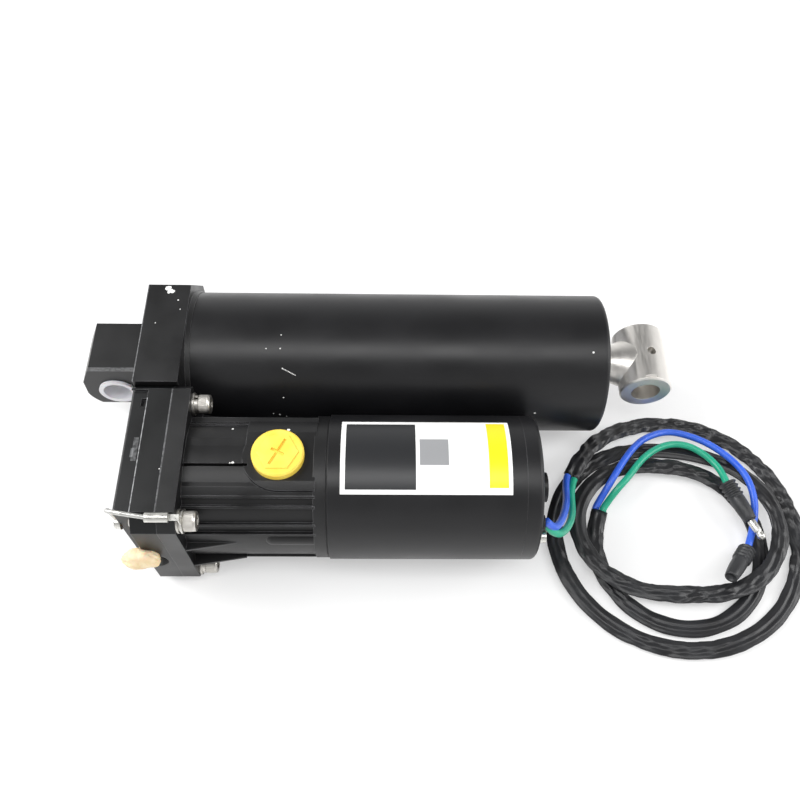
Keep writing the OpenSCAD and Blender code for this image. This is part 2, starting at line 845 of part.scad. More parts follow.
module pump_coupling() {
    color("#6f7276") at_motor() difference() {
        bar_x(coupling_x0, coupling_x1, coupling_d);
        bar_x(coupling_x0 - overrun, drive_end_x + overrun / 2, journal_d + 2 * seat_clear);
        bar_x(drive_end_x, coupling_x1 + overrun, shaft_d + 2 * seat_clear);
    }
}

module pump_filter() {
    color("#c9b878") at_motor() ring_x(gear_x0, gear_x1 - overrun, pump_d + 2 * filter_t,
        pump_d + 2 * seat_clear);
}

// Reservoir casting
through_angles = [-75, 105];
through_inset = 2.6;
through_r = can_id / 2 - through_inset;
through_d = 4;
through_head_d = 6.4;
through_head_l = 3;
tie_wall = 2.5;
tie_boss_d = through_d + 2 * tie_wall;
tie_boss_l = 20;
tie_boss_x0 = can_x0 - gasket_t - rim_l - tie_boss_l;
tie_bite = 14;
fill_inset = 17.5;
fill_x = rim_x0 - fill_inset;
pad_round_r = plug_d * 0.59;
pad_x0 = fill_x - plug_d * 0.635;
pad_front = 17.8;
rib_angles = [-33, -41, -56, -65, 33, 150, 180, 210, 240, -120];
rib_t = 1.2;
rib_rise = 2;
rail_y = 22;
rail_w = 3;
deck_front = 20;
deck_drop = 1.5;
deck_edge = 4;
pad_step = 0.5;
groove_w = 1.5;
gusset_x1 = flange_x1 + cast_l * 0.42;
gusset_t = 1.2;
gusset_levels = [6.5, -15.5];
seal_cord = 2.4;
seal_inset = 3;
seal_r = cast_id / 2 + seal_inset;
deck_round = 1;
pad_round = 2.5;

module panel(x0, x1, y0, y1, top) {
    box([x0, y0, 0], [x1, y1, top]);
}

module reservoir() {
    y = manifold_half_y;
    z = manifold_half_z;
    deck = deck_rise;
    pad = pad_rise;
    rim_x1 = can_x0 - gasket_t;
    color("#1f2023") at_motor() difference() {
        union() {
            prism_x(seam_x, flange_x1) manifold_outline();
            bar_x(flange_x1 - overrun, rim_x1, cast_od);
            bar_x(rim_x0, rim_x1, rim_od);
            intersection() {
                panel(flange_x1 - overrun, rim_x0 + overrun, -deck_front, rail_y, deck);
                bar_x(flange_x1 - overrun, rim_x0 + overrun, 2 * (pad + deck_round));
            }
            intersection() {
                panel(flange_x1 - overrun, pad_x0 + overrun, -deck_edge + pad_step, rail_y, pad - pad_step);
                bar_x(flange_x1 - overrun, rim_x0 + overrun, 2 * (pad + deck_round));
            }
            intersection() {
                union() {
                    translate([fill_x, 0, 0]) post(0, pad, 2 * pad_front);
                    panel(fill_x, rim_x0 + overrun, -pad_front, rail_y, pad);
                    panel(pad_x0, rim_x0 + overrun, 0, rail_y, pad);
                }
                bar_x(flange_x1, rim_x0 + overrun, 2 * (pad + pad_round));
            }
            panel(flange_x1 - overrun, rim_x0 + overrun, rail_y, rail_y + rail_w, sqrt(pow(cast_r,
                2) - pow(rail_y, 2)) + rib_rise);
            for (a = rib_angles) rotate([-a, 0, 0]) translate([flange_x1 - overrun, -rib_t / 2, 0])
                cube([cast_l + 2 * overrun, rib_t, cast_r + rib_rise]);
            round_x(through_angles, through_r) {
                bar_x(tie_boss_x0, rim_x1, tie_boss_d);
                translate([tie_boss_x0, 0, 0]) sphere(d = tie_boss_d);
            }
            for (side = [-1, 1], level = gusset_levels) translate([0, 0,
                level]) linear_extrude(gusset_t) polygon([
                [flange_x1 - overrun, 0],
                [flange_x1 - overrun, side * (y - part_gap)],
                [gusset_x1, side * (cast_r - overrun)],
                [gusset_x1, 0]
            ]);
        }
        difference() {
            bar_x(seam_x - overrun, rim_x1 + overrun, cast_id);
            round_x(through_angles, through_r) {
                bar_x(tie_boss_x0, rim_x1 + 2 * overrun, tie_boss_d);
                translate([tie_boss_x0, 0, 0]) sphere(d = tie_boss_d);
            }
        }
        translate([fill_x, 0, 0]) post(cast_r / 2, pad + overrun, plug_thread_d + 2 * run_clear);
        box([flange_x1, -deck_edge - groove_w, deck - groove_w], [pad_x0 + groove_w, -deck_edge,
            pad + overrun]);
        for (side = [-1, 1], level = [-1, 1])
            translate([0, side * screw_y, level * screw_z]) bar_x(seam_x - overrun,
                flange_x1 + overrun, screw_d + 2 * part_gap);
        ring_x(seam_x - overrun, seam_x + seal_cord - run_clear, 2 * seal_r + seal_cord,
            2 * seal_r - seal_cord);
        round_x(through_angles, through_r) bar_x(rim_x1 - tie_bite, rim_x1 + overrun,
            through_d + 2 * seat_clear);
    }
}

module can_gasket() {
    color("#0e0e0f") at_motor() difference() {
        bar_x(can_x0 - gasket_t, can_x0, rim_od - 2 * part_gap);
        bar_x(can_x0 - gasket_t - overrun, can_x0 + overrun, cast_id - 2 * (tie_boss_d - through_d));
        round_x(through_angles, through_r) bar_x(can_x0 - gasket_t - overrun, can_x0 + overrun,
            through_d + 2 * part_gap);
    }
}

// Yellow fill plug with raised hexagon and cross, and its O-ring
plug_shank_l = 10;
plug_cord = 2;
plug_hex = 18;
plug_mark = 0.5;
plug_arms = [15.4, 7.2];
plug_arm_w = 1.4;
plug_turn = 62;
plug_edge = 0.8;

module fill_plug() {
    r = plug_d / 2;
    color("#f2c81e") at_motor() translate([fill_x, 0, pad_rise]) difference() {
        union() {
            post(-plug_shank_l, plug_h / 2, plug_thread_d);
            post(0, plug_h - plug_edge, plug_d);
            translate([0, 0, plug_h - plug_edge]) cylinder(d1 = plug_d, d2 = plug_d - 2 * plug_edge,
                h = plug_edge);
            translate([0, 0, plug_h - plug_mark]) cylinder(d = across_flats(plug_hex),
                h = 2 * plug_mark, $fn = 6);
        }
        difference() {
            post(-overrun, plug_cord, plug_thread_d + 2 * plug_cord + 2 * run_clear);
            post(-2 * overrun, plug_cord + overrun, plug_thread_d);
        }
        for (i = [0, 1]) rotate(plug_turn + 90 * i) translate([-plug_arms[i] / 2, -plug_arm_w / 2,
            plug_h - plug_mark])
            cube([plug_arms[i], plug_arm_w, 2 * plug_mark + overrun]);
    }
}

module fill_plug_o_ring() {
    color("#101010") at_motor() translate([fill_x, 0, pad_rise + run_clear]) difference() {
        post(0, plug_cord - 2 * run_clear, plug_thread_d + 2 * plug_cord);
        post(-overrun, plug_cord + overrun, plug_thread_d + 2 * run_clear);
    }
}

// Flange screws and their washers
flat_washer_t = 1.2;
flat_washer_rim = 1;
lock_washer_t = 1;
ring_lug_t = 0.8;
screw_head_l = 6.2;
screw_stack = flat_washer_t + lock_washer_t + ring_lug_t;
socket_flats = 5;
head_edge = 0.6;

module flange_screws() {
    x = flange_x1 + screw_stack;
    color("#d5d6d7") at_motor() for (side = [-1, 1], level = [-1, 1]) translate([0, side * screw_y,
        level * screw_z]) difference() {
        union() {
            bar_x(screw_tip_x, x + overrun, screw_d);
            bar_x(x, x + screw_head_l - head_edge, screw_head_d);
            cone_x(x + screw_head_l - head_edge, x + screw_head_l, screw_head_d,
                screw_head_d - 2 * head_edge);
        }
        translate([x + screw_head_l / 2, 0, 0]) rotate([0, 90,
            0]) cylinder(d = across_flats(socket_flats), h = screw_head_l, $fn = 6);
    }
}

module lock_washers() {
    color("#c2c3c5") at_motor() for (side = [-1, 1], level = [-1, 1]) translate([0, side * screw_y,
        level * screw_z]) {
        front_top = side < 0 && level > 0;
        x = flange_x1 + flat_washer_t;
        ring_x(flange_x1, x, screw_head_d + 2 * flat_washer_rim, screw_d + 2 * part_gap);
        ring_x(x, front_top ? x + lock_washer_t : x + lock_washer_t + ring_lug_t, screw_head_d,
            screw_d + 2 * part_gap);
    }
}

// Earth lead: crimped barrel and ring at the flange screw, small ring and screw on the outer face
lug_barrel_d = 4.8;
lug_barrel_l = 11;
lug_bend = 2;
lug_side = 2.4;
lug_over = 1.4;
lug_barrel_x1 = flange_x1 - lug_bend;
lug_barrel_x0 = lug_barrel_x1 - lug_barrel_l;
lug_barrel_y = -screw_y - lug_side;
lug_barrel_z = manifold_half_z + lug_over;
lug_ring_d = 12;
small_lug_d = 7;
lug_screw_inset = 10.5;
lug_screw_y = -manifold_half_y + lug_screw_inset;
lug_screw_z = manifold_half_z * 0.5;
lug_screw_d = 3;
lug_screw_head_d = 6;
lug_screw_head_l = 2.4;
lug_screw_l = 8;
lug_neck_w = 3;
wire_d = 2.3;

module ground_terminals() {
    ring_x0 = flange_x1 + flat_washer_t + lock_washer_t;
    ring_x1 = ring_x0 + ring_lug_t;
    color("#c9cacb") at_motor() {
        difference() {
            union() {
                translate([0, -screw_y, screw_z]) bar_x(ring_x0, ring_x1, lug_ring_d);
                box([ring_x0, lug_barrel_y - lug_neck_w / 2, screw_z], [ring_x1,
                    lug_barrel_y + lug_neck_w / 2, lug_barrel_z + ring_lug_t / 2]);
                box([lug_barrel_x1 - overrun, lug_barrel_y - lug_neck_w / 2,
                    lug_barrel_z - ring_lug_t / 2], [ring_x1, lug_barrel_y + lug_neck_w / 2,
                        lug_barrel_z + ring_lug_t / 2]);
                translate([0, lug_barrel_y, lug_barrel_z]) bar_x(lug_barrel_x0, lug_barrel_x1,
                    lug_barrel_d);
            }
            translate([0, -screw_y, screw_z]) bar_x(ring_x0 - overrun, ring_x1 + overrun,
                screw_d + 2 * part_gap);
            translate([0, lug_barrel_y, lug_barrel_z]) bar_x(lug_barrel_x0 - overrun,
                lug_barrel_x0 + 2 * overrun, wire_d + 2 * seat_clear);
        }
        translate([block_x0, lug_screw_y, lug_screw_z]) {
            difference() {
                union() {
                    bar_x(-ring_lug_t, 0, small_lug_d);
                    box([-ring_lug_t, -wire_d / 2, 0], [0, wire_d / 2, small_lug_d]);
                }
                bar_x(-overrun, overrun, lug_screw_d + 2 * part_gap);
            }
            difference() {
                union() {
                    bar_x(-ring_lug_t - lug_screw_head_l, -ring_lug_t, lug_screw_head_d);
                    bar_x(-ring_lug_t - overrun, lug_screw_l - overrun, lug_screw_d);
                }
                box([-ring_lug_t - lug_screw_head_l - overrun, -lug_screw_head_d, -ring_lug_t / 2],
                    [-ring_lug_t - lug_screw_head_l / 2, lug_screw_head_d, ring_lug_t / 2]);
            }
        }
    }
}

// Motor
module motor_can() {
    color("#1a1b1d") at_motor() ring_x(can_x0, can_x1, motor_od, can_id);
}

bearing_ring = 6;
seal_ring = 5;
bearing_od = shaft_d + 2 * bearing_ring;
seal_od = shaft_d + 2 * seal_ring;
front_bearing_w = plate_l;
plate_boss_l = 6;
spigot_gap = 0.5;
seal_l = 4;
rear_journal_d = shaft_d * 0.8;
rear_bush_wall = 2;
rear_bush_od = rear_journal_d + 2 * rear_bush_wall;
rear_bush_l = 9;
boss_end = 1.5;
rear_x1 = boss_x1 - boss_end;
plate_spigot_d = cast_id - 2 * (tie_boss_d - through_d) - 2 * spigot_gap;

module drive_plate() {
    color("#8e9195") at_motor() difference() {
        union() {
            bar_x(can_x0, plate_x1, can_id - 2 * seat_clear);
            bar_x(can_x0 - plate_boss_l, plate_x1, plate_spigot_d * 0.6);
            bar_x(can_x0 - gasket_t - overrun, plate_x1, plate_spigot_d - overrun);
        }
        bar_x(can_x0 - plate_boss_l - overrun, plate_x1 + overrun, shaft_d + 2 * part_gap);
        bar_x(plate_x1 - front_bearing_w, plate_x1 + overrun, bearing_od + 2 * seat_clear);
        bar_x(can_x0 - plate_boss_l - overrun, can_x0 - plate_boss_l + seal_l, seal_od + 2 * seat_clear);
        round_x(through_angles, through_r) bar_x(can_x0 - overrun, plate_x1 + overrun,
            through_d + 2 * part_gap);
    }
}

// Front ball bearing, shaft seal and rear bush
module motor_bearings() {
    color("#b5b8bb") at_motor() {
        ring_x(plate_x1 - front_bearing_w, plate_x1, bearing_od, shaft_d + 2 * run_clear);
        ring_x(can_x0 - plate_boss_l, can_x0 - plate_boss_l + seal_l, seal_od, shaft_d + 2 * run_clear);
        ring_x(rear_x1 - rear_bush_l, rear_x1, rear_bush_od, rear_journal_d + 2 * run_clear);
    }
}

air_gap = 1;
end_room = 14;
magnet_over = 4;
commutator_gap = 1;
magnet_t = (can_id - armature_d) / 2 - air_gap;
stack_x0 = plate_x1 + end_room;
stack_l = 54;
stack_x1 = stack_x0 + stack_l;
magnet_x0 = stack_x0 - magnet_over;
magnet_x1 = stack_x1 + magnet_over;
winding_l = 8;
winding_od = armature_d * 0.82;
slot_count = 12;
slot_w = 3;
slot_depth = 9;
commutator_x0 = stack_x1 + winding_l + commutator_gap;
commutator_l = 13;
commutator_d = armature_d * 0.5;
brush_w = 6;
brush_l = 9;
brush_inset = 3;
brush_ring_gap = 2;
holder_wall = 1;
brush_x = commutator_x0 + brush_inset;
plate_in_d = commutator_d + 2 * brush_ring_gap;
brush_plate_t = 3;
brush_plate_x1 = can_x1;
brush_plate_x0 = brush_plate_x1 - brush_plate_t;

module motor_magnets() {
    color("#4b4d52") at_motor() difference() {
        ring_x(magnet_x0, magnet_x1, can_id - 2 * seat_clear, can_id - 2 * magnet_t);
        for (a = through_angles) rotate([-a, 0, 0]) box([magnet_x0 - overrun, -can_id * 0.26, 0],
            [magnet_x1 + overrun, can_id * 0.26, can_id]);
    }
}

module armature() {
    color("#9ea1a5") at_motor() {
        difference() {
            bar_x(stack_x0, stack_x1, armature_d);
            for (i = [0:slot_count - 1]) rotate([i * 360 / slot_count, 0, 0])
                box([stack_x0 - overrun, -slot_w / 2, armature_d / 2 - slot_depth],
                    [stack_x1 + overrun, slot_w / 2, armature_d]);
        }
        bar_x(shaft_end_x, commutator_x0 + commutator_l, shaft_d);
        bar_x(commutator_x0 + commutator_l - overrun, rear_x1 - run_clear, rear_journal_d);
    }
}

module windings() {
    color("#b5622e") at_motor() {
        ring_x(stack_x0 - winding_l, stack_x0 - seat_clear, winding_od, shaft_d + 2 * seat_clear);
        ring_x(stack_x1 + seat_clear, stack_x1 + winding_l, winding_od, shaft_d + 2 * seat_clear);
        for (i = [0:slot_count - 1]) rotate([i * 360 / slot_count, 0, 0])
            box([stack_x0 - overrun, -slot_w / 2 + seat_clear,
                armature_d / 2 - slot_depth + seat_clear], [stack_x1 + overrun,
                    slot_w / 2 - seat_clear, winding_od / 2 - seat_clear]);
    }
}

module commutator() {
    color("#c07840") at_motor() difference() {
        ring_x(commutator_x0, commutator_x0 + commutator_l, commutator_d, shaft_d + 2 * seat_clear);
        for (i = [0:slot_count - 1]) rotate([i * 360 / slot_count, 0, 0])
            box([commutator_x0 - overrun, -run_clear * 4, commutator_d / 2 - overrun],
                [commutator_x0 + commutator_l + overrun, run_clear * 4, commutator_d]);
    }
}

// Insulating plate with brush holders, and the two carbon brushes
module brush_plate() {
    color("#6b4a2c") at_motor() difference() {
        union() {
            ring_x(brush_plate_x0, brush_plate_x1, can_id - 2 * seat_clear, plate_in_d);
            rotate([-15, 0, 0]) for (side = [0, 180]) rotate([side, 0, 0])
                box([brush_x - holder_wall, -brush_w / 2 - holder_wall, plate_in_d / 2],
                    [brush_plate_x0 + overrun, brush_w / 2 + holder_wall, commutator_d / 2 + brush_l]);
        }
        rotate([-15, 0, 0]) for (side = [0, 180]) rotate([side, 0, 0])
            box([brush_x - part_gap, -brush_w / 2 - part_gap, 0], [brush_plate_x0 - overrun,
                brush_w / 2 + part_gap, can_id / 2 - brush_ring_gap]);
        round_x(through_angles, through_r) bar_x(brush_plate_x0 - overrun, brush_plate_x1 + overrun,
            through_d + 2 * part_gap);
    }
    color("#2a2a2c") at_motor() rotate([-15, 0, 0]) for (side = [0, 180]) rotate([side, 0, 0])
        box([brush_x, -brush_w / 2, commutator_d / 2 + run_clear],
            [brush_plate_x0 - overrun - part_gap, brush_w / 2, commutator_d / 2 + brush_l]);
}

cap_round = 2.5;
grommet_d = 8;
grommet_y = -27;
grommet_z = 16.2;
grommet_out = 1.5;
grommet_lip = 1;
lead_pinch = 0.5;
lead_pitch = lead_d + part_gap;

module motor_end_cap() {
    r = motor_od / 2;
    well_r = commutator_d / 2 + commutator_gap;
    well_x = commutator_x0 + commutator_l + commutator_gap;
    bush_r = rear_bush_od / 2 + seat_clear;
    color("#1a1b1d") at_motor() difference() {
        rotate([0, 90, 0]) rotate_extrude() polygon(concat(
            [[well_r, can_x1], [r, can_x1]],
            arc(r - cap_round, cap_x1 - cap_round, cap_round, 0, 90, 6),
            [
                [boss_d / 2, cap_x1],
                [boss_d / 2, boss_x1],
                [0, boss_x1],
                [0, rear_x1 + part_gap],
                [bush_r, rear_x1 + part_gap],
                [bush_r, well_x],
                [well_r, well_x]
            ]
        ));
        round_x(through_angles, through_r) bar_x(can_x1 - overrun, cap_x1 + overrun,
            through_d + 2 * part_gap);
        translate([0, grommet_y, grommet_z]) bar_x(can_x1 - overrun, cap_x1 + overrun,
            grommet_d - 2 * grommet_lip);
    }
}

module through_bolts() {
    x0 = can_x0 - gasket_t - tie_bite + overrun;
    color("#8d9094") at_motor() round_x(through_angles, through_r) difference() {
        union() {
            bar_x(x0, cap_x1 + overrun, through_d);
            bar_x(cap_x1, cap_x1 + through_head_l, through_head_d);
        }
        translate([cap_x1 + through_head_l / 2, -through_head_d, -run_clear * 8]) cube([through_head_l,
            2 * through_head_d, run_clear * 16]);
    }
}

module lead_grommet() {
    color("#131313") at_motor() translate([0, grommet_y, grommet_z]) difference() {
        union() {
            bar_x(can_x1 + overrun, cap_x1, grommet_d - 2 * grommet_lip - 2 * seat_clear);
            bar_x(cap_x1, cap_x1 + grommet_out, grommet_d);
        }
        for (side = [-1, 1]) translate([0, 0, side * lead_pitch / 2]) bar_x(can_x1,
            cap_x1 + 2 * grommet_out, lead_d - 2 * lead_pinch);
    }
}

// Blank sticker, a thin shell on the can
sticker_inset = 6.3;
sticker_x0 = can_x0 + sticker_inset;
sticker_l = 84.7;
sticker_back = 34.7;
sticker_front = -30.5;
sticker_slant = 1.5;

module sticker() {
    r = motor_od;
    color("#f4f4f2") at_motor() intersection() {
        ring_x(sticker_x0, sticker_x0 + sticker_l, motor_od + 2 * sticker_t, motor_od + 2 * seat_clear);
        prism_x(sticker_x0 - overrun, sticker_x0 + sticker_l + overrun)
            polygon([[0, 0], [r * sin(sticker_front), r * cos(sticker_front)], [0, 2 * r],
                [r * sin(sticker_back), r * cos(sticker_back)]]);
    }
}

// Harness. Its points are counted from the face of the end cap, the motor axis and the
// surface that the unit rests on.
rest_z = axis_rise - tube_drop;
module at_harness() {
    translate([cap_x1, -motor_offset, rest_z]) children();
}
coil_c = [86.5, -9];
coil_start = -0.62;
coil_end = 11.02;
coil_rings = 24;
coil_lift = 0.1;
layer_gap = 0.6;
// Radius at each quarter turn as a share of coil_r, and the layer there, from u = -2 on
radius_shares = [
    0.853, 0.912, 1, 1.03, 1.015, 1.007, 0.735, 0.86, 0.588, 0.829, 0.551, 0.684, 0.846, 0.662,
    0.294, 0.294
];
layer_shares = [3, 3, 0, 0, 0, 0, 0, 1, 1, 1, 0.8, 0, 0, 0, 0, 0];

function ease(f) = f * f * (3 - 2 * f);
function hermite(a, b, c, d, f) =
    let (m0 = (c - a) / 2, m1 = (d - b) / 2)
    (2 * pow(f, 3) - 3 * f * f + 1) * b + (pow(f, 3) - 2 * f * f + f) * m0
        + (3 * f * f - 2 * pow(f, 3)) * c + (pow(f, 3) - f * f) * m1;
function coil_radius(u) =
    let (i = floor(u) + 2, f = u - floor(u))
    coil_r * hermite(radius_shares[i - 1], radius_shares[i], radius_shares[i + 1], radius_shares[i + 2], f);
function coil_layer(u) =
    let (i = floor(u) + 2, f = ease(u - floor(u)))
    layer_shares[i] * (1 - f) + layer_shares[i + 1] * f;
function coil_point(u) = [
    coil_c[0] + coil_radius(u) * sin(90 * u),
    coil_c[1] + coil_radius(u) * cos(90 * u),
    coil_lift + sleeve_t / 2 + coil_layer(u) * (sleeve_t + layer_gap)
];
function coil_heading(u) = unit(coil_point(u + 0.02) - coil_point(u - 0.02));

function unit(v) = v / norm(v);
function level(v) = unit([v[0], v[1], 0]);

// Smooth route through its points, a few steps between each pair
function route(pts, steps) = concat(
    [for (i = [0:len(pts) - 2], k = [0:steps - 1])
        hermite(pts[max(i - 1, 0)], pts[i], pts[i + 1], pts[min(i + 2, len(pts) - 1)], k / steps)],
    [pts[len(pts) - 1]]
);

// Tube swept along points, with a flat or round section
module sweep(pts, half_w, half_h, sides, ref = [0, 0, 1]) {
    n = len(pts);
    rings = [
        for (i = [0:n - 1])
            let (
                t = unit(pts[min(i + 1, n - 1)] - pts[max(i - 1, 0)]),
                s = unit(cross(t, ref)),
                v = cross(s, t)
            )
            for (k = [0:sides - 1]) pts[i] + s * half_w * cos(k * 360 / sides) + v * half_h * sin(k * 360 / sides)
    ];
    polyhedron(rings, concat(
        [for (k = [1:sides - 2]) [0, k, k + 1]],
        [for (i = [0:n - 2], k = [0:sides - 1]) each [
            [i * sides + k, (i + 1) * sides + k, i * sides + (k + 1) % sides],
            [i * sides + (k + 1) % sides, (i + 1) * sides + k, (i + 1) * sides + (k + 1) % sides]
        ]],
        [for (k = [1:sides - 2]) [(n - 1) * sides, (n - 1) * sides + k + 1, (n - 1) * sides + k]]
    ));
}

coil_steps = floor((coil_end - coil_start) / 4 * coil_rings);
coil_in = coil_point(coil_start);
coil_out = coil_point(coil_end);
coil_in_dir = level(coil_heading(coil_start));
coil_out_dir = level(coil_heading(coil_end));
coil_turns = [for (i = [0:coil_steps]) coil_point(coil_start + (coil_end - coil_start) * i / coil_steps)];
coil_route = concat(
    [coil_in - coil_in_dir * sleeve_w],
    coil_turns,
    [coil_out + coil_out_dir * sleeve_w]
);
mouth_in = coil_route[0];
mouth_out = coil_route[len(coil_route) - 1];

// Least gap of the sleeve to itself, between points at least a quarter turn apart
coil_gap = min([
    for (i = [0:coil_steps], j = [0:coil_steps]) if (j > i + coil_rings / 4)
        let (d = coil_turns[j] - coil_turns[i])
        max(norm([d[0], d[1]]) - sleeve_w, abs(d[2]) - sleeve_t)
]);
echo(coil_gap = coil_gap);

module harness_sleeve() {
    color("#17181a") at_harness() sweep(coil_route, sleeve_w / 2, sleeve_t / 2 / cos(30), 6);
}

// Free leads between the grommet and the sleeve, and the two tails past it
in_side = cross(coil_in_dir, [0, 0, 1]) * lead_pitch / 2;
out_side = cross(coil_out_dir, [0, 0, 1]) * lead_pitch / 2;
grommet_face = [grommet_out, grommet_y, tube_drop + grommet_z];
blue_lead_mid = [[7, -27.3, 55.7], [10, -24, 50.5], [14, -15, 39.5], [18.5, -3, 26.5], [22, 6, 18]];
green_lead_mid = [[7, -28.8, 52.5], [11.5, -27.5, 47], [17, -18.5, 35.5], [22.5, -5.5, 22.5], [25.3,
    3.5, 16]];
blue_tail_mid = [
    [51.5, 16.5, 10], [58.5, 27, 11.9], [70.2, 41.4, 11.5], [83.4, 49, 9.2], [95.3, 50.6, 8],
    [110.6, 44.8, 8.4], [122.9, 34.2, 9.5], [131.3, 20.5, 10.5], [133.5, 4.5, 8.7], [129.3, -11.3, 7]
];
green_tail_mid = [
    [55, 12.5, 10], [62, 19.5, 11.5], [72.5, 32, 11.6], [86.2, 40.5, 10.8], [99.7, 41.5, 9.2],
    [110.1, 35.2, 8.9], [116.3, 25.5, 10.3]
];
blue_boot_p0 = [124.1, -23.2, 6.2];
blue_boot_p1 = [108.5, -41.5, 14.1];
green_boot_p0 = [118.2, 15.7, 11.9];
green_boot_p1 = [127.5, -7, 11.3];

lead_gap = 0.3;
lead_straight = 3;
in_step = coil_in_dir * lead_straight;
in_end = coil_in_dir * lead_gap;
out_step = coil_out_dir * lead_straight;
out_end = coil_out_dir * lead_gap;
grommet_end = [2 * lead_gap, 0, 0];

module lead(pts) {
    sweep(pts, lead_d / 2, lead_d / 2, 8);
}

module blue_lead() {
    start = grommet_face + grommet_end + [0, 0, lead_pitch / 2];
    end = mouth_in - in_side;
    color("#2f5fd0") at_harness() lead(route(concat([start], blue_lead_mid, [end - in_step,
        end - in_end]), 2));
}

module green_lead() {
    start = grommet_face + grommet_end - [0, 0, lead_pitch / 2];
    end = mouth_in + in_side;
    color("#1f8f66") at_harness() lead(route(concat([start], green_lead_mid, [end - in_step,
        end - in_end]), 2));
}

module blue_tail() {
    start = mouth_out - out_side;
    color("#2f5fd0") at_harness() lead(route(concat([start + out_end, start + out_step], blue_tail_mid,
        [blue_boot_p0]), 2));
}

module green_tail() {
    start = mouth_out + out_side;
    color("#1f8f66") at_harness() lead(route(concat([start + out_end, start + out_step],
        green_tail_mid, [green_boot_p0]), 2));
}

// Ribbed rubber boot between two points
boot_d = 10.4;
boot_neck_d = 8;
boot_tip_d = 7;
boot_ribs = 5;
boot_rib_pitch = 2.8;

module along(p0, p1) {
    d = p1 - p0;
    translate(p0) rotate([0, acos(d[2] / norm(d)), atan2(d[1], d[0])]) children();
}

module boot(p0, p1) {
    l = norm(p1 - p0);
    collar = boot_ribs * boot_rib_pitch;
    along(p0, p1) rotate_extrude($fn = 32) polygon(concat(
        [[0, 0]],
        [for (i = [0:boot_ribs - 1]) each [
            [boot_d / 2, i * boot_rib_pitch],
            [boot_d / 2, (i + 0.6) * boot_rib_pitch],
            [boot_neck_d / 2, (i + 0.65) * boot_rib_pitch],
            [boot_neck_d / 2, (i + 0.95) * boot_rib_pitch]
        ]],
        [
            [boot_neck_d / 2, collar],
            [boot_tip_d / 2, l],
            [0, l]
        ]
    ));
}

module blue_boot() {
    color("#1c1d1f") at_harness() boot(blue_boot_p0, blue_boot_p1);
}

module green_boot() {
    color("#1c1d1f") at_harness() boot(green_boot_p0, green_boot_p1);
}

// Silver bullet connector that stands out of the boot on the green tail
pin_d = 4.5;
pin_l = 12;
pin_rise = 0.6;

module bullet_pin() {
    dir = unit(green_boot_p1 - green_boot_p0);
    start = green_boot_p1 + dir * lead_gap;
    end = start + dir * pin_l + [0, 0, pin_rise];
    color("#d8dadc") at_harness() along(start, end) {
        post(0, pin_l * 0.55, pin_d);
        translate([0, 0, pin_l * 0.55]) cylinder(d = pin_d * 0.75, h = pin_l * 0.25);
        translate([0, 0, pin_l * 0.8]) cylinder(d1 = pin_d, d2 = pin_d * 0.6, h = pin_l * 0.2);
    }
}

// Earth wire from the crimped barrel over the edge to the small ring
wire_bend = 3.4;

module ground_lead() {
    y0 = lug_barrel_y;
    z0 = lug_barrel_z;
    x1 = block_x0 - wire_bend;
    z1 = lug_screw_z + small_lug_d;
    color("#d9d9d4") at_motor() sweep(route([
        [lug_barrel_x0 + overrun, y0, z0],
        [lug_barrel_x0 - 2 * wire_bend, y0 + overrun, z0 + overrun / 2],
        [block_x0, (y0 + lug_screw_y) / 2, z0],
        [x1 + overrun, lug_screw_y - overrun, z0 - wire_bend],
        [x1 + overrun, lug_screw_y, (z0 + z1) / 2],
        [block_x0 - wire_d / 2 - ring_lug_t / 2, lug_screw_y, z1 + overrun],
        [block_x0 - wire_d / 2 - ring_lug_t / 2, lug_screw_y, z1]
    ], 2), wire_d / 2, wire_d / 2, 8, [0, 1, 0]);
}

base_block();
pivot_bush_front();
pivot_bush_back();
ram_tube();
inner_barrel();
rod_gland();
gland_o_ring();
rod_seal();
ram_rod();
rod_eye();
ram_piston();
piston_ring();
piston_nut();
shock_balls();
memory_piston();
memory_ring();
pump_manifold();
block_bolts();
manifold_seals();
port_foam();
release_valve();
release_o_ring();
shuttle_spool();
check_valves();
spool_plug();
pump_body();
pump_cover();
drive_gear();
driven_gear();
pump_screws();
pump_coupling();
pump_filter();
reservoir();
can_gasket();
fill_plug();
fill_plug_o_ring();
flange_screws();
lock_washers();
ground_terminals();
ground_lead();
motor_can();
drive_plate();
motor_bearings();
motor_magnets();
armature();
windings();
commutator();
brush_plate();
motor_end_cap();
through_bolts();
lead_grommet();
sticker();
blue_lead();
green_lead();
harness_sleeve();
blue_tail();
green_tail();
blue_boot();
green_boot();
bullet_pin();
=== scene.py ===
# %% [markdown]
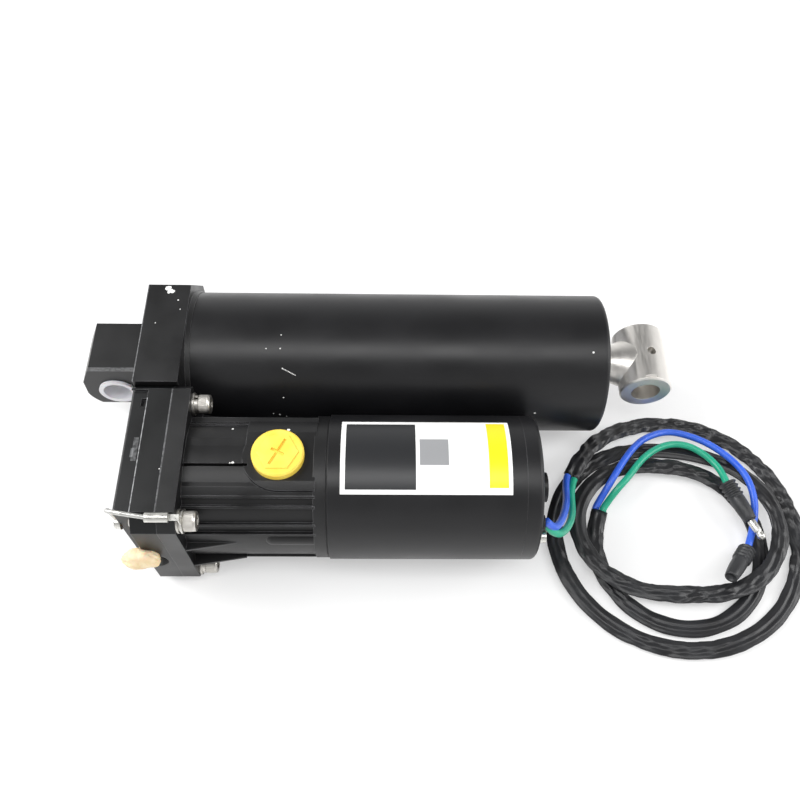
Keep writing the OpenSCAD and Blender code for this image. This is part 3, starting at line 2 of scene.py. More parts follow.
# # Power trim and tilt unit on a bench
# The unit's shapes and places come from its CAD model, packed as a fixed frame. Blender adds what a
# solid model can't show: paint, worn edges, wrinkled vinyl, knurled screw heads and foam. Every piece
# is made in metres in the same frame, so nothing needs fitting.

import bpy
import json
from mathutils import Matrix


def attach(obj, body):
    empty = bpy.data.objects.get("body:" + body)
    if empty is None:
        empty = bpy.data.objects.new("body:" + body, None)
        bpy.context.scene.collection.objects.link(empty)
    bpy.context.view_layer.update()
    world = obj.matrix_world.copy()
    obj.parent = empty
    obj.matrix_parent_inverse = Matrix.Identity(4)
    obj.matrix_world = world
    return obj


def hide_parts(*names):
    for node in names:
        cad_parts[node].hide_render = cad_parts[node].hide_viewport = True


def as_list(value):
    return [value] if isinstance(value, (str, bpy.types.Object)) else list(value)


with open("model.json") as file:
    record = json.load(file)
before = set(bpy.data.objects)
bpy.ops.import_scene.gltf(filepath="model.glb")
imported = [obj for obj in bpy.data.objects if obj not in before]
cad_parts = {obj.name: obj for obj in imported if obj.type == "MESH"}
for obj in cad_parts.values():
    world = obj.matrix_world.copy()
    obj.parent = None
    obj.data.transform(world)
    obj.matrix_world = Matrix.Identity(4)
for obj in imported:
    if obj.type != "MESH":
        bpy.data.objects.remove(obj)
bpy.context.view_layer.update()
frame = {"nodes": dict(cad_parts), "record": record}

# %% Modules and the unit of length
import json
import math

import bmesh
import bpy
from mathutils import Matrix, Vector, noise

MM = 0.001
UP = Vector((0, 0, 1))
bpy.context.scene.view_settings.view_transform = "Standard"

# %% [markdown]
# ## Camera
# The photograph looks down at the unit from the front at about 61 degrees. The camera was solved from
# straight edges whose places in the CAD frame are known, so it is written here as a matrix: its
# columns are the camera's right, up and back directions. A small shift moves the frame as the
# photograph's crop does.

# %% Camera
camera_data = bpy.data.cameras.new("photo_camera")
camera_data.sensor_width = 36
camera_data.lens = 37.43
camera_data.shift_x = -0.0019
camera_data.shift_y = 0.0328
camera = bpy.data.objects.new("photo_camera", camera_data)
bpy.context.scene.collection.objects.link(camera)
right = Vector((0.99975194, -0.00517669, 0.02166226))
up = Vector((-0.00590295, 0.87624454, 0.48183053))
back = Vector((-0.02147573, -0.48183888, 0.87599663))
camera.matrix_world = Matrix((right, up, back)).transposed().to_4x4()
camera.location = (0.1525, -0.26451, 0.41260)
bpy.context.scene.camera = camera
print("camera looks down at", round(math.degrees(math.asin(back.z)), 1), "degrees")

# %% [markdown]
# ## Helpers for meshes
# Most made pieces are either a ring of points carried along a path, such as a wire, or a profile
# turned round a line, such as a boot. The helpers below make these as closed meshes with their faces
# outwards, and put points and faces into an object at the origin, where a CAD node's object also
# sits.

# %% Mesh helpers
MERGE_M = 1e-7      # points closer than this, in metres, become one
POLE_MM = 1e-6      # radius of the ring that closes a turned shape


def make_piece(name, points, faces, smooth=True):
    """An object at the origin from points in metres."""
    mesh = bpy.data.meshes.new(name)
    mesh.from_pydata([tuple(p) for p in points], [], faces)
    shape = bmesh.new()
    shape.from_mesh(mesh)
    bmesh.ops.remove_doubles(shape, verts=shape.verts, dist=MERGE_M)
    bmesh.ops.recalc_face_normals(shape, faces=shape.faces)
    shape.to_mesh(mesh)
    shape.free()
    mesh.polygons.foreach_set("use_smooth", [smooth] * len(mesh.polygons))
    piece = bpy.data.objects.new(name, mesh)
    bpy.context.scene.collection.objects.link(piece)
    return piece


def angles(sides):
    """Angles of points spaced evenly round a turn."""
    return [2 * math.pi * k / sides for k in range(sides)]


def ring_faces(rings, sides, start=0, loop=False):
    """Quads between rings of points. The ends are closed, or with loop the last ring meets the first."""
    faces = []
    for i in range(rings if loop else rings - 1):
        here, there = start + i * sides, start + (i + 1) % rings * sides
        faces += [(here + k, here + (k + 1) % sides, there + (k + 1) % sides, there + k)
                  for k in range(sides)]
    if not loop:
        last = start + (rings - 1) * sides
        faces += [tuple(range(start, start + sides)), tuple(reversed(range(last, last + sides)))]
    return faces


def turned(profile, origin, axis, sides=48, start=0):
    """Points and faces of a profile of (distance along, radius) turned round a line."""
    axis = Vector(axis).normalized()
    across = axis.orthogonal().normalized()
    other = axis.cross(across)
    points = []
    for along, radius in profile:
        centre, r = Vector(origin) + axis * along, max(radius, POLE_MM)
        points += [centre + (across * math.cos(a) + other * math.sin(a)) * r for a in angles(sides)]
    return points, ring_faces(len(profile), sides, start)


print("helpers ready: make_piece, angles, ring_faces, turned")

# %% Helpers for paths
def path_length(path):
    return sum((b - a).length for a, b in zip(path, path[1:]))


def stations(path):
    """For each point of a path: the distance along it, the point and the heading there."""
    s = 0.0
    for i, centre in enumerate(path):
        before, after = path[max(i - 1, 0)], path[min(i + 1, len(path) - 1)]
        s += (centre - before).length
        yield s, centre, (after - before).normalized()


def hermite(a, b, c, d, f):
    """Smooth curve from b to c, with a and d as the neighbours."""
    return ((2 * f**3 - 3 * f**2 + 1) * b + (f**3 - 2 * f**2 + f) * (c - a) / 2
            + (3 * f**2 - 2 * f**3) * c + (f**3 - f**2) * (d - b) / 2)


print("helpers ready: path_length, stations, hermite")

# %% [markdown]
# ## The harness
# Two insulated wires leave the motor through a grommet, run inside a flat vinyl sleeve and come out
# as two tails with rubber boots. The sleeve lies on the bench in about three loose turns. The CAD
# model holds its route as a rule, a radius and a layer at each quarter turn with a smooth curve
# between, and the same numbers are repeated here, so the soft sleeve lies just where its solid does.

# %% Route of the sleeve
REST_Z, CLEARANCE = -30.5, 0.1
COIL_CENTRE = (318.5, -88.0)
COIL_R = 68.0
COIL_START, COIL_END = -0.62, 11.02
SLEEVE_W, SLEEVE_T = 10.0, 4.6
LAYER_STEP = SLEEVE_T + 0.6
RADIUS_SHARES = (0.853, 0.912, 1, 1.03, 1.015, 1.007, 0.735, 0.86, 0.588, 0.829, 0.551, 0.684,
                 0.846, 0.662, 0.294, 0.294)
LAYER_SHARES = (3, 3, 0, 0, 0, 0, 0, 1, 1, 1, 0.8, 0, 0, 0, 0, 0)


def coil_point(u):
    """Point of the sleeve after u quarter turns, in mm."""
    i, f = int(math.floor(u)) + 2, u - math.floor(u)
    radius = COIL_R * hermite(*RADIUS_SHARES[i - 1:i + 3], f)
    rise = f * f * (3 - 2 * f)
    layer = LAYER_SHARES[i] * (1 - rise) + LAYER_SHARES[i + 1] * rise
    angle = math.radians(90 * u)
    return Vector((COIL_CENTRE[0] + radius * math.sin(angle), COIL_CENTRE[1] + radius * math.cos(angle),
                   REST_Z + CLEARANCE + SLEEVE_T / 2 + layer * LAYER_STEP))


def level_heading(u, reach=0.02):
    """Heading of the route seen from above, from two points close by."""
    step = coil_point(u + reach) - coil_point(u - reach)
    return Vector((step.x, step.y, 0)).normalized()


print("quarter turns of the sleeve:", round(COIL_END - COIL_START, 2))

# %% Points along the sleeve, with a straight mouth at each end
COIL_STEPS = 640
MOUTH_SHARES = (0.25, 0.5, 0.75, 1)
in_heading, out_heading = level_heading(COIL_START), level_heading(COIL_END)
coil = [coil_point(COIL_START + (COIL_END - COIL_START) * i / COIL_STEPS) for i in range(COIL_STEPS + 1)]
sleeve_path = ([coil[0] - in_heading * SLEEVE_W * s for s in reversed(MOUTH_SHARES)] + coil
               + [coil[-1] + out_heading * SLEEVE_W * s for s in MOUTH_SHARES])
mouth_in, mouth_out = sleeve_path[0], sleeve_path[-1]
print("sleeve length, mm:", round(path_length(sleeve_path), 1), "points:", len(sleeve_path))

# %% [markdown]
# The real sleeve is thin black vinyl that was pressed flat over two wires. Its section is a flat
# ring with a soft bulge over each wire. It buckles into slanting creases as it goes round the coil,
# and the half turn after its first mouth is folded most. A ring of points is carried along the
# route. Noise that is sharp where it crosses zero pulls the skin inwards, which gives creases rather
# than bumps. A cloth simulation would wander off the route, so all of this is made in code.

# %% Noise for the sleeve
CREASE_EDGE = 5     # how steeply a crease's sides fall


def limit(value, low=0.0, high=1.0):
    return max(low, min(high, value))


def uneven(s, size_mm, lane, layer=0):
    """Noise along the sleeve, in waves of about size_mm. lane and layer keep one apart from another."""
    return noise.noise(Vector((s / size_mm, lane, layer)))


def crease(x, y, seed):
    """1 in the valley of a crease and 0 away from it."""
    return max(0.0, 1 - abs(noise.noise(Vector((x, y, seed)))) * CREASE_EDGE)


def squared(value, power):
    """Raises a cosine or sine to a power and keeps its sign: below 1 it makes a circle boxier."""
    return math.copysign(abs(value) ** power, value)


print("helpers ready: limit, uneven, crease, squared")

# %% Wrinkled sleeve
SLEEVE_SIDES = 36
SKIN_WIDE, SKIN_TALL = 4.75, 1.8            # half width and half height of the skin, mm
WIRE_APART, WIRE_REACH = 1.7, 1.0           # each wire's bulge: off the middle, and half wide, mm
BETWEEN_WIRES, OVER_WIRES = 0.72, 0.46      # height between the wires, and what a wire adds
FOLDED_TO, FOLDED_FADE = 230, 60            # the strong folds end here, and fade out over this, mm
FOLD_PITCH, FOLD_DEPTH, FOLD_SLANT = 9.5, 0.46, 0.35
CREASE_DEPTH = 0.6
WIDEST, TOP_SPARE = 5.0, 0.4                # the skin stays in its solid, and a little over it


def sleeve_section(s, a):
    """Offset at angle a of the ring s mm along the sleeve, across and up, in mm.

    Each noise gets its own wave length, from 3.6 mm for the edge to 48 mm for where it buckles.
    """
    wide = SKIN_WIDE + 0.6 * uneven(s, 15, 3.1)
    tall = SKIN_TALL + 0.35 * uneven(s, 19, 9.4)
    across = wide * squared(math.cos(a), 0.9)
    up_ = tall * squared(math.sin(a), 0.75)
    drift = 1.1 * uneven(s, 34, 5.2, 1)
    bulge = math.exp(-((abs(across - drift) - WIRE_APART) / WIRE_REACH) ** 2)
    up_ *= BETWEEN_WIRES + OVER_WIRES * bulge
    first = limit((FOLDED_TO - s) / FOLDED_FADE)
    buckle = min(1.0, limit(0.62 + 1.3 * uneven(s, 48, 0.3, 7)) + 0.5 * first)
    fold = math.sin(2 * math.pi * s / FOLD_PITCH + FOLD_SLANT * across + 5 * uneven(s, 21, 2.2, 4))
    up_ *= 1 + FOLD_DEPTH * (first + 0.25 * buckle) * fold * (0.45 + 0.55 * min(1.0, abs(across) / 3))
    slant = (crease(s / 15 + across * 0.17, across / 14, 1.7)
             + 0.7 * crease(s / 9 - across * 0.2, across / 12, 8.2))
    up_ *= 1 - CREASE_DEPTH * buckle * min(1.0, slant)
    edge = (uneven(s, 7, math.copysign(4, across), 2)
            + 0.5 * uneven(s, 3.6, math.copysign(9, across), 5))
    across *= 1 + (0.16 + 0.18 * first) * buckle * edge * abs(across) / wide
    return limit(across, -WIDEST, WIDEST), limit(up_, -SLEEVE_T / 2, SLEEVE_T / 2 + TOP_SPARE)


def sleeve_mesh():
    points = []
    for s, centre, heading in stations(sleeve_path):
        side = heading.cross(UP).normalized()
        top = side.cross(heading)
        for a in angles(SLEEVE_SIDES):
            across, up_ = sleeve_section(s, a)
            points.append((centre + side * across + top * up_) * MM)
    return points, ring_faces(len(sleeve_path), SLEEVE_SIDES)


harness_sleeve = make_piece("wrinkled_sleeve", *sleeve_mesh())
print("sleeve faces:", len(harness_sleeve.data.polygons))

# %% [markdown]
# The wires are plain round vinyl, so each is a smooth round tube along its route. Four of them are
# needed: blue and green on each side of the sleeve. They are 4 mm thick, as the photograph shows,
# where the CAD model's are 3 mm. The tails go through the CAD model's points. The short leads at the
# motor pass up to 4 mm from them, because thicker wires need more room beside each other.
# Vinyl this thick takes no sharp bend, so every route is then eased.

# %% Points of the wires
LEAD_D, LEAD_PITCH = 4.0, 4.2
grommet_face = Vector((233.5, -106.0, 24.7))
BLUE_LEAD = [(238.5, -108, 21.5), (242, -105.5, 16.5), (248, -95, 8), (253, -82.5, -4), (255, -73, -12.5)]
GREEN_LEAD = [(239, -109.4, 18.8), (243.8, -108.8, 13.2), (251.4, -99.3, 3.8), (257.6, -85.6, -8.6),
              (257.3, -75.5, -14.5)]
BLUE_TAIL = [(283.5, -62.5, -20.5), (290.5, -52, -18.6), (302.2, -37.6, -19), (315.4, -30, -21.3),
             (327.3, -28.4, -22.5), (342.6, -34.2, -22.1), (354.9, -44.8, -21), (363.3, -58.5, -20),
             (365.5, -74.5, -21.8), (361.3, -90.3, -23.5)]
GREEN_TAIL = [(287, -66.5, -20.5), (294, -59.5, -19), (304.5, -47, -18.9), (318.2, -38.5, -19.7),
              (331.7, -37.5, -21.3), (342.1, -43.8, -21.6), (348.3, -53.5, -20.2)]
BLUE_BOOT = (Vector((356.1, -102.2, -24.3)), Vector((340.5, -120.5, -16.4)))
GREEN_BOOT = (Vector((350.2, -63.3, -18.6)), Vector((359.5, -86, -19.2)))
print("points given:", [len(p) for p in (BLUE_LEAD, GREEN_LEAD, BLUE_TAIL, GREEN_TAIL)])

# %% From points to a tube
def route(points, steps):
    """Smooth path through the points, in mm."""
    points = [Vector(p) for p in points]
    last = len(points) - 1
    path = [hermite(points[max(i - 1, 0)], points[i], points[i + 1], points[min(i + 2, last)], k / steps)
            for i in range(last) for k in range(steps)]
    return path + [points[last]]


def eased(path, passes):
    """Takes the kinks out of a path: each point moves towards the middle of its neighbours."""
    for _ in range(passes):
        between = [b * 0.5 + (a + c) * 0.25 for a, b, c in zip(path, path[1:], path[2:])]
        path = [path[0], *between, path[-1]]
    return path


def tube(name, path, radius, sides=20, ripple=None):
    """A closed round tube along a path in mm. ripple(s, angle) adds to the radius."""
    points, normal = [], None
    for s, centre, heading in stations(path):
        if normal is None:
            normal = heading.orthogonal().normalized()
        else:
            normal = (normal - heading * normal.dot(heading)).normalized()
        other = heading.cross(normal)
        for a in angles(sides):
            r = radius + (ripple(s, a) if ripple else 0)
            points.append((centre + (normal * math.cos(a) + other * math.sin(a)) * r) * MM)
    return make_piece(name, points, ring_faces(len(path), sides))


print("helpers ready: route, eased, tube")

# %% Wires on both sides of the sleeve
ROUTE_STEPS, LEAD_PASSES, TAIL_PASSES = 8, 70, 10
AT_MOUTH, BEFORE_MOUTH = 0.3, 3     # each wire is straight between these distances from the sleeve, mm
in_side = in_heading.cross(UP) * LEAD_PITCH / 2
out_side = out_heading.cross(UP) * LEAD_PITCH / 2
lead_rise = Vector((0, 0, LEAD_PITCH / 2))
out_of_grommet = Vector((0.6, 0, 0))


def lead_route(start, middle, side):
    """From the grommet to the sleeve's first mouth."""
    first, end = grommet_face + out_of_grommet + start, mouth_in + side
    points = [first, *middle, end - in_heading * BEFORE_MOUTH, end - in_heading * AT_MOUTH]
    return eased(route(points, ROUTE_STEPS), LEAD_PASSES)


def tail_route(side, middle, boot_end):
    """From the sleeve's last mouth to a boot."""
    start = mouth_out + side
    points = [start + out_heading * AT_MOUTH, start + out_heading * BEFORE_MOUTH, *middle, boot_end]
    return eased(route(points, ROUTE_STEPS), TAIL_PASSES)


wire_routes = {
    "blue_lead": lead_route(lead_rise, BLUE_LEAD, -in_side),
    "green_lead": lead_route(-lead_rise, GREEN_LEAD, in_side),
    "blue_tail": tail_route(-out_side, BLUE_TAIL, BLUE_BOOT[0]),
    "green_tail": tail_route(out_side, GREEN_TAIL, GREEN_BOOT[0]),
}
wires = {name: tube(name + "_wire", path, LEAD_D / 2) for name, path in wire_routes.items()}
for name, path in wire_routes.items():
    print(name, "mm:", round(path_length(path), 1))

# %% [markdown]
# Each tail ends in a moulded rubber boot with soft ribs that grip the wire. One boot covers a socket
# and is closed, and a silver bullet stands out of the other. Both are turned shapes, so a profile of
# distance and radius is turned round the boot's own line. The ribs are rounded by a cosine.

# %% Boots
BOOT_RIBS, RIB_PITCH, RIB_STEPS = 4, 2.6, 10
RIB_FOOT, RIB_HEIGHT, RIB_START = 4.1, 1.0, 0.32
BODY_R, BODY_TAPER, BODY_CROWN = 4.3, 0.85, 0.35


def boot_profile(length):
    """Ribs on the wire's side, then a body that tapers to the far end, in mm."""
    collar, steps = BOOT_RIBS * RIB_PITCH, BOOT_RIBS * RIB_STEPS
    profile = [(0.0, 1.7), (0.0, RIB_FOOT), (0.25, 4.75)]
    for i in range(1, steps):
        s = collar * i / steps
        wave = 0.5 + 0.5 * math.cos(2 * math.pi * (s / RIB_PITCH - RIB_START))
        profile.append((s, RIB_FOOT + RIB_HEIGHT * wave ** 1.3))
    for share in (0.0, 0.1, 0.25, 0.45, 0.65, 0.85):
        profile.append((collar + (length - collar) * share,
                        BODY_R - BODY_TAPER * share + BODY_CROWN * math.sin(math.pi * share)))
    return profile + [(length - 0.25, 3.45), (length, 3.1), (length, 2.3), (length - 1.2, 2.2),
                      (length - 1.2, 0.0)]


def boot(name, ends):
    start, end = ends
    points, faces = turned(boot_profile((end - start).length), start, end - start)
    return make_piece(name, [p * MM for p in points], faces)


blue_boot, green_boot = boot("blue_boot_rubber", BLUE_BOOT), boot("green_boot_rubber", GREEN_BOOT)
print("boot lengths, mm:", [round((b - a).length, 1) for a, b in (BLUE_BOOT, GREEN_BOOT)])

# %% Bullet
PIN_PROFILE = [(-0.2, 0), (-0.2, 2.1), (0, 2.25), (2, 2.25), (2.01, 2.25), (6.6, 2.25), (7.1, 2.2),
               (7.5, 1.95), (9.1, 1.9), (9.5, 2.1), (9.9, 2.22), (10.8, 2.15), (11.6, 1.7), (12, 1.35),
               (12, 0)]
PIN_OUT, PIN_LENGTH, PIN_TILT = 0.3, 12, Vector((0, 0, 0.6))
boot_line = (GREEN_BOOT[1] - GREEN_BOOT[0]).normalized()
points, faces = turned(PIN_PROFILE, GREEN_BOOT[1] + boot_line * PIN_OUT,
                       boot_line * PIN_LENGTH + PIN_TILT, 40)
bullet = make_piece("bullet_connector", [p * MM for p in points], faces)
print("bullet length, mm:", PIN_LENGTH)

# %% [markdown]
# The earth wire is a short bare braid in clear tubing that runs from the crimped terminal on the
# flange screw, over the corner of the manifold and down to a small screw on its outer face. Strands
# laid round each other would be hundreds of thin faces, so one tube gets a ripple that winds round
# it as the strands do.

# %% Earth wire
EARTH_ROUTE = [(42, -113.9, 48.9), (34.2, -112.9, 49.4), (24, -110.95, 48.9), (21.6, -109, 45.5),
               (21.6, -108, 41.95), (22.45, -108, 36), (22.45, -108, 35)]
EARTH_R, EARTH_D, EARTH_SIDES = 1.13, 2.3, 36
STRANDS, LAY_LENGTH = 6, 7.0
STRAND_HEIGHT, STRAND_SINK = 0.12, 0.08
earth_path = route(EARTH_ROUTE, 12)


def strand_ripple(s, angle):
    """Height of the strands at s mm along the wire."""
    return STRAND_HEIGHT * abs(math.cos((angle + 2 * math.pi * s / LAY_LENGTH) * STRANDS / 2)) - STRAND_SINK


earth_wire = tube("earth_wire_strands", earth_path, EARTH_R, EARTH_SIDES, strand_ripple)
print("earth wire mm:", round(path_length(earth_path), 1))

# %% [markdown]
# The table below lists each cord's piece, route, thickness, far end, stiffness, lie and end pieces.
# The loop after it works out each cord's length, points and end pieces, and keeps none of them. The
# lengths are those of the routes, which were read from the photograph. Some of the sleeve lies under
# its own turns or past the picture's edge, so its length is an estimate. Each piece takes the place
# of the solid that stands for it in the CAD model, and rides on the unit's body.

# %% Say what each piece stands for
def stand_for(piece, node, slot):
    """The piece is shown instead of the CAD node and rides on the unit. slot is not used."""
    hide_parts(node)
    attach(piece, "unit")


HARNESS = (
    (harness_sleeve, "harness_sleeve", "sleeve_vinyl"),
    (wires["blue_lead"], "blue_lead", "blue_vinyl"), (wires["green_lead"], "green_lead", "green_vinyl"),
    (wires["blue_tail"], "blue_tail", "blue_vinyl"), (wires["green_tail"], "green_tail", "green_vinyl"),
    (blue_boot, "blue_boot", "boot_rubber"), (green_boot, "green_boot", "boot_rubber"),
    (bullet, "bullet_pin", "zinc_steel"), (earth_wire, "ground_lead", "bare_wire"),
)
for piece, node, slot in HARNESS:
    stand_for(piece, node, slot)
print("harness pieces:", len(HARNESS))

CORDS = [(harness_sleeve, sleeve_path, SLEEVE_W, "bare", "limp", "coiled", [])]
CORDS += [(wires[name], wire_routes[name], LEAD_D, far_end, "medium", "loose", ends)
          for name, far_end, ends in (("blue_lead", "object", []), ("green_lead", "object", []),
                                      ("blue_tail", "connector", [blue_boot]),
                                      ("green_tail", "connector", [green_boot, bullet]))]
CORDS += [(earth_wire, earth_path, EARTH_D, "object", "medium", "taut", [])]
for piece, path, width, far_end, stiffness, lay, ends in CORDS:
    path_length(path) * MM
    [tuple(p * MM) for p in path]
    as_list(ends)
print("cords declared:", len(CORDS))

# %% [markdown]
# ## Bench and light
# The photograph was taken in a white tent: the bench is white, the shadows are soft and every black
# face carries a pale sheen. The floor is a large plain sheet. What the camera sees of it is part
# plain white and part lit near the unit, so that it keeps the shadow, and all plain white further
# off. Reflections see it mostly as it is lit, or the unit's lower sides would turn pale. The tent's
# walls are brighter than its roof, which leaves flat tops black and lights the sides. A large lamp
# stands high on the left, since the shadows fall to the right. A weaker one fills from the right and
# a long one hangs above.

# %% Colours and one helper that adds a node
MIX, MIX_A, MIX_B = 0, 6, 7     # a colour Mix node's inputs: the share of B, colour A and colour B


def srgb(code):
    """'#rrggbb' to a linear colour."""
    parts = [int(code[i:i + 2], 16) / 255 for i in (1, 3, 5)]
    return tuple(c / 12.92 if c <= 0.04045 else ((c + 0.055) / 1.055) ** 2.4 for c in parts) + (1.0,)


def add_node(tree, kind, inputs=None, **settings):
    """Adds a node with its properties and fills its inputs with values or links.

    A node given for an input stands for the first of its outputs that is in use.
    """
    made = tree.nodes.new(kind)
    for name, value in settings.items():
        setattr(made, name, value)
    for name, value in (inputs or {}).items():
        if isinstance(value, bpy.types.Node):
            value = next(socket for socket in value.outputs if socket.enabled)
        if isinstance(value, bpy.types.NodeSocket):
            tree.links.new(value, made.inputs[name])
        else:
            made.inputs[name].default_value = value
    return made


def new_material(name):
    made = bpy.data.materials.new(name)
    made.use_nodes = True
    made.node_tree.nodes.clear()
    return made, made.node_tree


print("black #1c1c1e is", [round(c, 4) for c in srgb("#1c1c1e")[:3]])

# %% Floor
UNIT_MIDDLE = (0.18, -0.05, 0)
NEAR, FAR = 0.3, 0.85                       # distance from the unit's middle, m
PLAIN_NEAR, PLAIN_FAR = 0.42, 1.0           # share of plain white that the camera sees there
PLAIN_REFLECTED = 0.12
FLOOR_HALF, FLOOR_Z = 3.0, REST_Z * MM - 0.0001

bench_white, tree = new_material("bench_white")
ray = add_node(tree, "ShaderNodeLightPath").outputs
seen = add_node(tree, "ShaderNodeMath", {0: ray["Is Camera Ray"], 1: ray["Is Transmission Ray"]},
                operation="MAXIMUM")
faint = add_node(tree, "ShaderNodeMath", {0: ray["Is Glossy Ray"], 1: PLAIN_REFLECTED}, operation="MULTIPLY")
spot = add_node(tree, "ShaderNodeTexCoord").outputs["Object"]
away = add_node(tree, "ShaderNodeVectorMath", {0: spot, 1: (*UNIT_MIDDLE[:2], REST_Z * MM)},
                operation="DISTANCE")
plain = add_node(tree, "ShaderNodeMapRange", {"Value": away, "From Min": NEAR, "From Max": FAR,
                                              "To Min": PLAIN_NEAR, "To Max": PLAIN_FAR},
                 interpolation_type="SMOOTHSTEP")
glow_share = add_node(tree, "ShaderNodeMath", {0: seen, 1: plain, 2: faint}, operation="MULTIPLY_ADD")
lit = add_node(tree, "ShaderNodeBsdfDiffuse", {"Color": srgb("#f7f7f7")})
glow = add_node(tree, "ShaderNodeEmission", {"Color": srgb("#ffffff"), "Strength": 1.0})
mixed = add_node(tree, "ShaderNodeMixShader", {0: glow_share, 1: lit, 2: glow})
add_node(tree, "ShaderNodeOutputMaterial", {"Surface": mixed})

corners = [(x * FLOOR_HALF, y * FLOOR_HALF, FLOOR_Z) for x, y in ((-1, -1), (1, -1), (1, 1), (-1, 1))]
floor = make_piece("bench_top", corners, [(0, 1, 2, 3)])
floor.data.materials.append(bench_white)
print("floor at mm:", round(FLOOR_Z / MM, 2))

# %% World and lamps
TENT_LOW, TENT_HIGH = 0.25, 0.8     # height of the line of sight: 0 is level and 1 straight up
WALL, ROOF = 1.0, 0.22              # the tent's brightness below and above these
LAMPS = (                           # name, place, target, size in m, power in W
    ("lamp_left", (-0.75, 0.15, 0.85), UNIT_MIDDLE, (0.7, 0.7), 14),
    ("lamp_right", (1.05, -0.1, 0.6), (0.2, -0.05, 0), (0.5, 0.5), 4),
    ("lamp_above", (0.18, -0.28, 1.1), UNIT_MIDDLE, (1.2, 0.35), 6),
)

world = bpy.data.worlds.new("white_tent")
bpy.context.scene.world = world
world.use_nodes = True
tree = world.node_tree
tree.nodes.clear()
ray = add_node(tree, "ShaderNodeLightPath").outputs
sight = add_node(tree, "ShaderNodeTexCoord").outputs["Generated"]
height = add_node(tree, "ShaderNodeSeparateXYZ", {0: sight}).outputs["Z"]
wall = add_node(tree, "ShaderNodeMapRange", {"Value": height, "From Min": TENT_LOW, "From Max": TENT_HIGH,
                                             "To Min": WALL, "To Max": ROOF})
level = add_node(tree, "ShaderNodeMath", {0: ray["Is Camera Ray"], 1: wall}, operation="MAXIMUM")
sky = add_node(tree, "ShaderNodeBackground", {"Color": srgb("#ffffff"), "Strength": level})
add_node(tree, "ShaderNodeOutputWorld", {"Surface": sky})


def soft_lamp(name, place, target, size, power):
    data = bpy.data.lights.new(name, "AREA")
    data.shape = "RECTANGLE"
    data.size, data.size_y = size
    data.energy = power
    lamp = bpy.data.objects.new(name, data)
    bpy.context.scene.collection.objects.link(lamp)
    lamp.location = place
    lamp.rotation_euler = (Vector(target) - Vector(place)).to_track_quat("-Z", "Y").to_euler()


for lamp in LAMPS:
    soft_lamp(*lamp)

# %% [markdown]
# ## Black paint
# The block, the manifold and the reservoir are cast or milled aluminium under thin black paint, and
# the tube and the motor are painted steel. Satin black paint is a dark grey dielectric: what the eye
# sees is mostly its sheen, so the roughness matters more than the colour. Handling rubs the paint
# thin on the sharp edges, where it turns grey. The Bevel node finds those edges, and it also rounds
# the shading there, as a coat of paint and a broken edge do. Bare chips are placed by their
# coordinates, and so are grey lines along lit edges, which are painted highlights. A fine noise frays
# the rims of both. A Noise node's scale is its number of waves in a metre, so it is 1000 over their
# size in millimetres.

# %% Parts that several finishes share
BEVEL_SAMPLES = 4
NOISE_LOW, NOISE_HIGH = 0.3, 0.7    # most of a Noise node's values lie between these


def in_m(values):
    return tuple(v * MM for v in values)


def within(tree, ranges):
    """1 where every socket lies between its low and high, and 0 elsewhere."""
    product = None
    for socket, (low, high) in ranges:
        inside = add_node(tree, "ShaderNodeMath", {0: socket, 1: (low + high) / 2, 2: (high - low) / 2},
                          operation="COMPARE")
        if product is not None:
            inside = add_node(tree, "ShaderNodeMath", {0: product, 1: inside}, operation="MULTIPLY")
        product = inside
    return product


def end_material(tree, look, grain, height_mm, soft=None):
    """Ends a material with a grain's bump, over softened edges where given, and the shader."""
    relief = {"Strength": 1.0, "Distance": height_mm * MM, "Height": grain}
    if soft:
        relief["Normal"] = soft
    bump = add_node(tree, "ShaderNodeBump", relief)
    shader = add_node(tree, "ShaderNodeBsdfPrincipled", {**look, "Normal": bump})
    add_node(tree, "ShaderNodeOutputMaterial", {"Surface": shader})


print("helpers ready: in_m, within, end_material")

# %% Black paint with worn edges
EDGE_MM = 0.5
FLAT_COS, EDGE_COS = 0.995, 0.86    # rounded normal against true one: no edge, and a whole edge
WORN_FROM, WORN_FULL = 0.36, 0.62   # where the clouds let an edge be rubbed
DARKEST, LIGHTEST = 0.82, 1.22
RAGGED_MM = 1.6
# The grey is painted highlight for lit edges; the white is bare metal in chips.
EDGE_HIGHLIGHT_GREY, CHIP_WHITE = "#9b9c9e", "#e2e2e0"


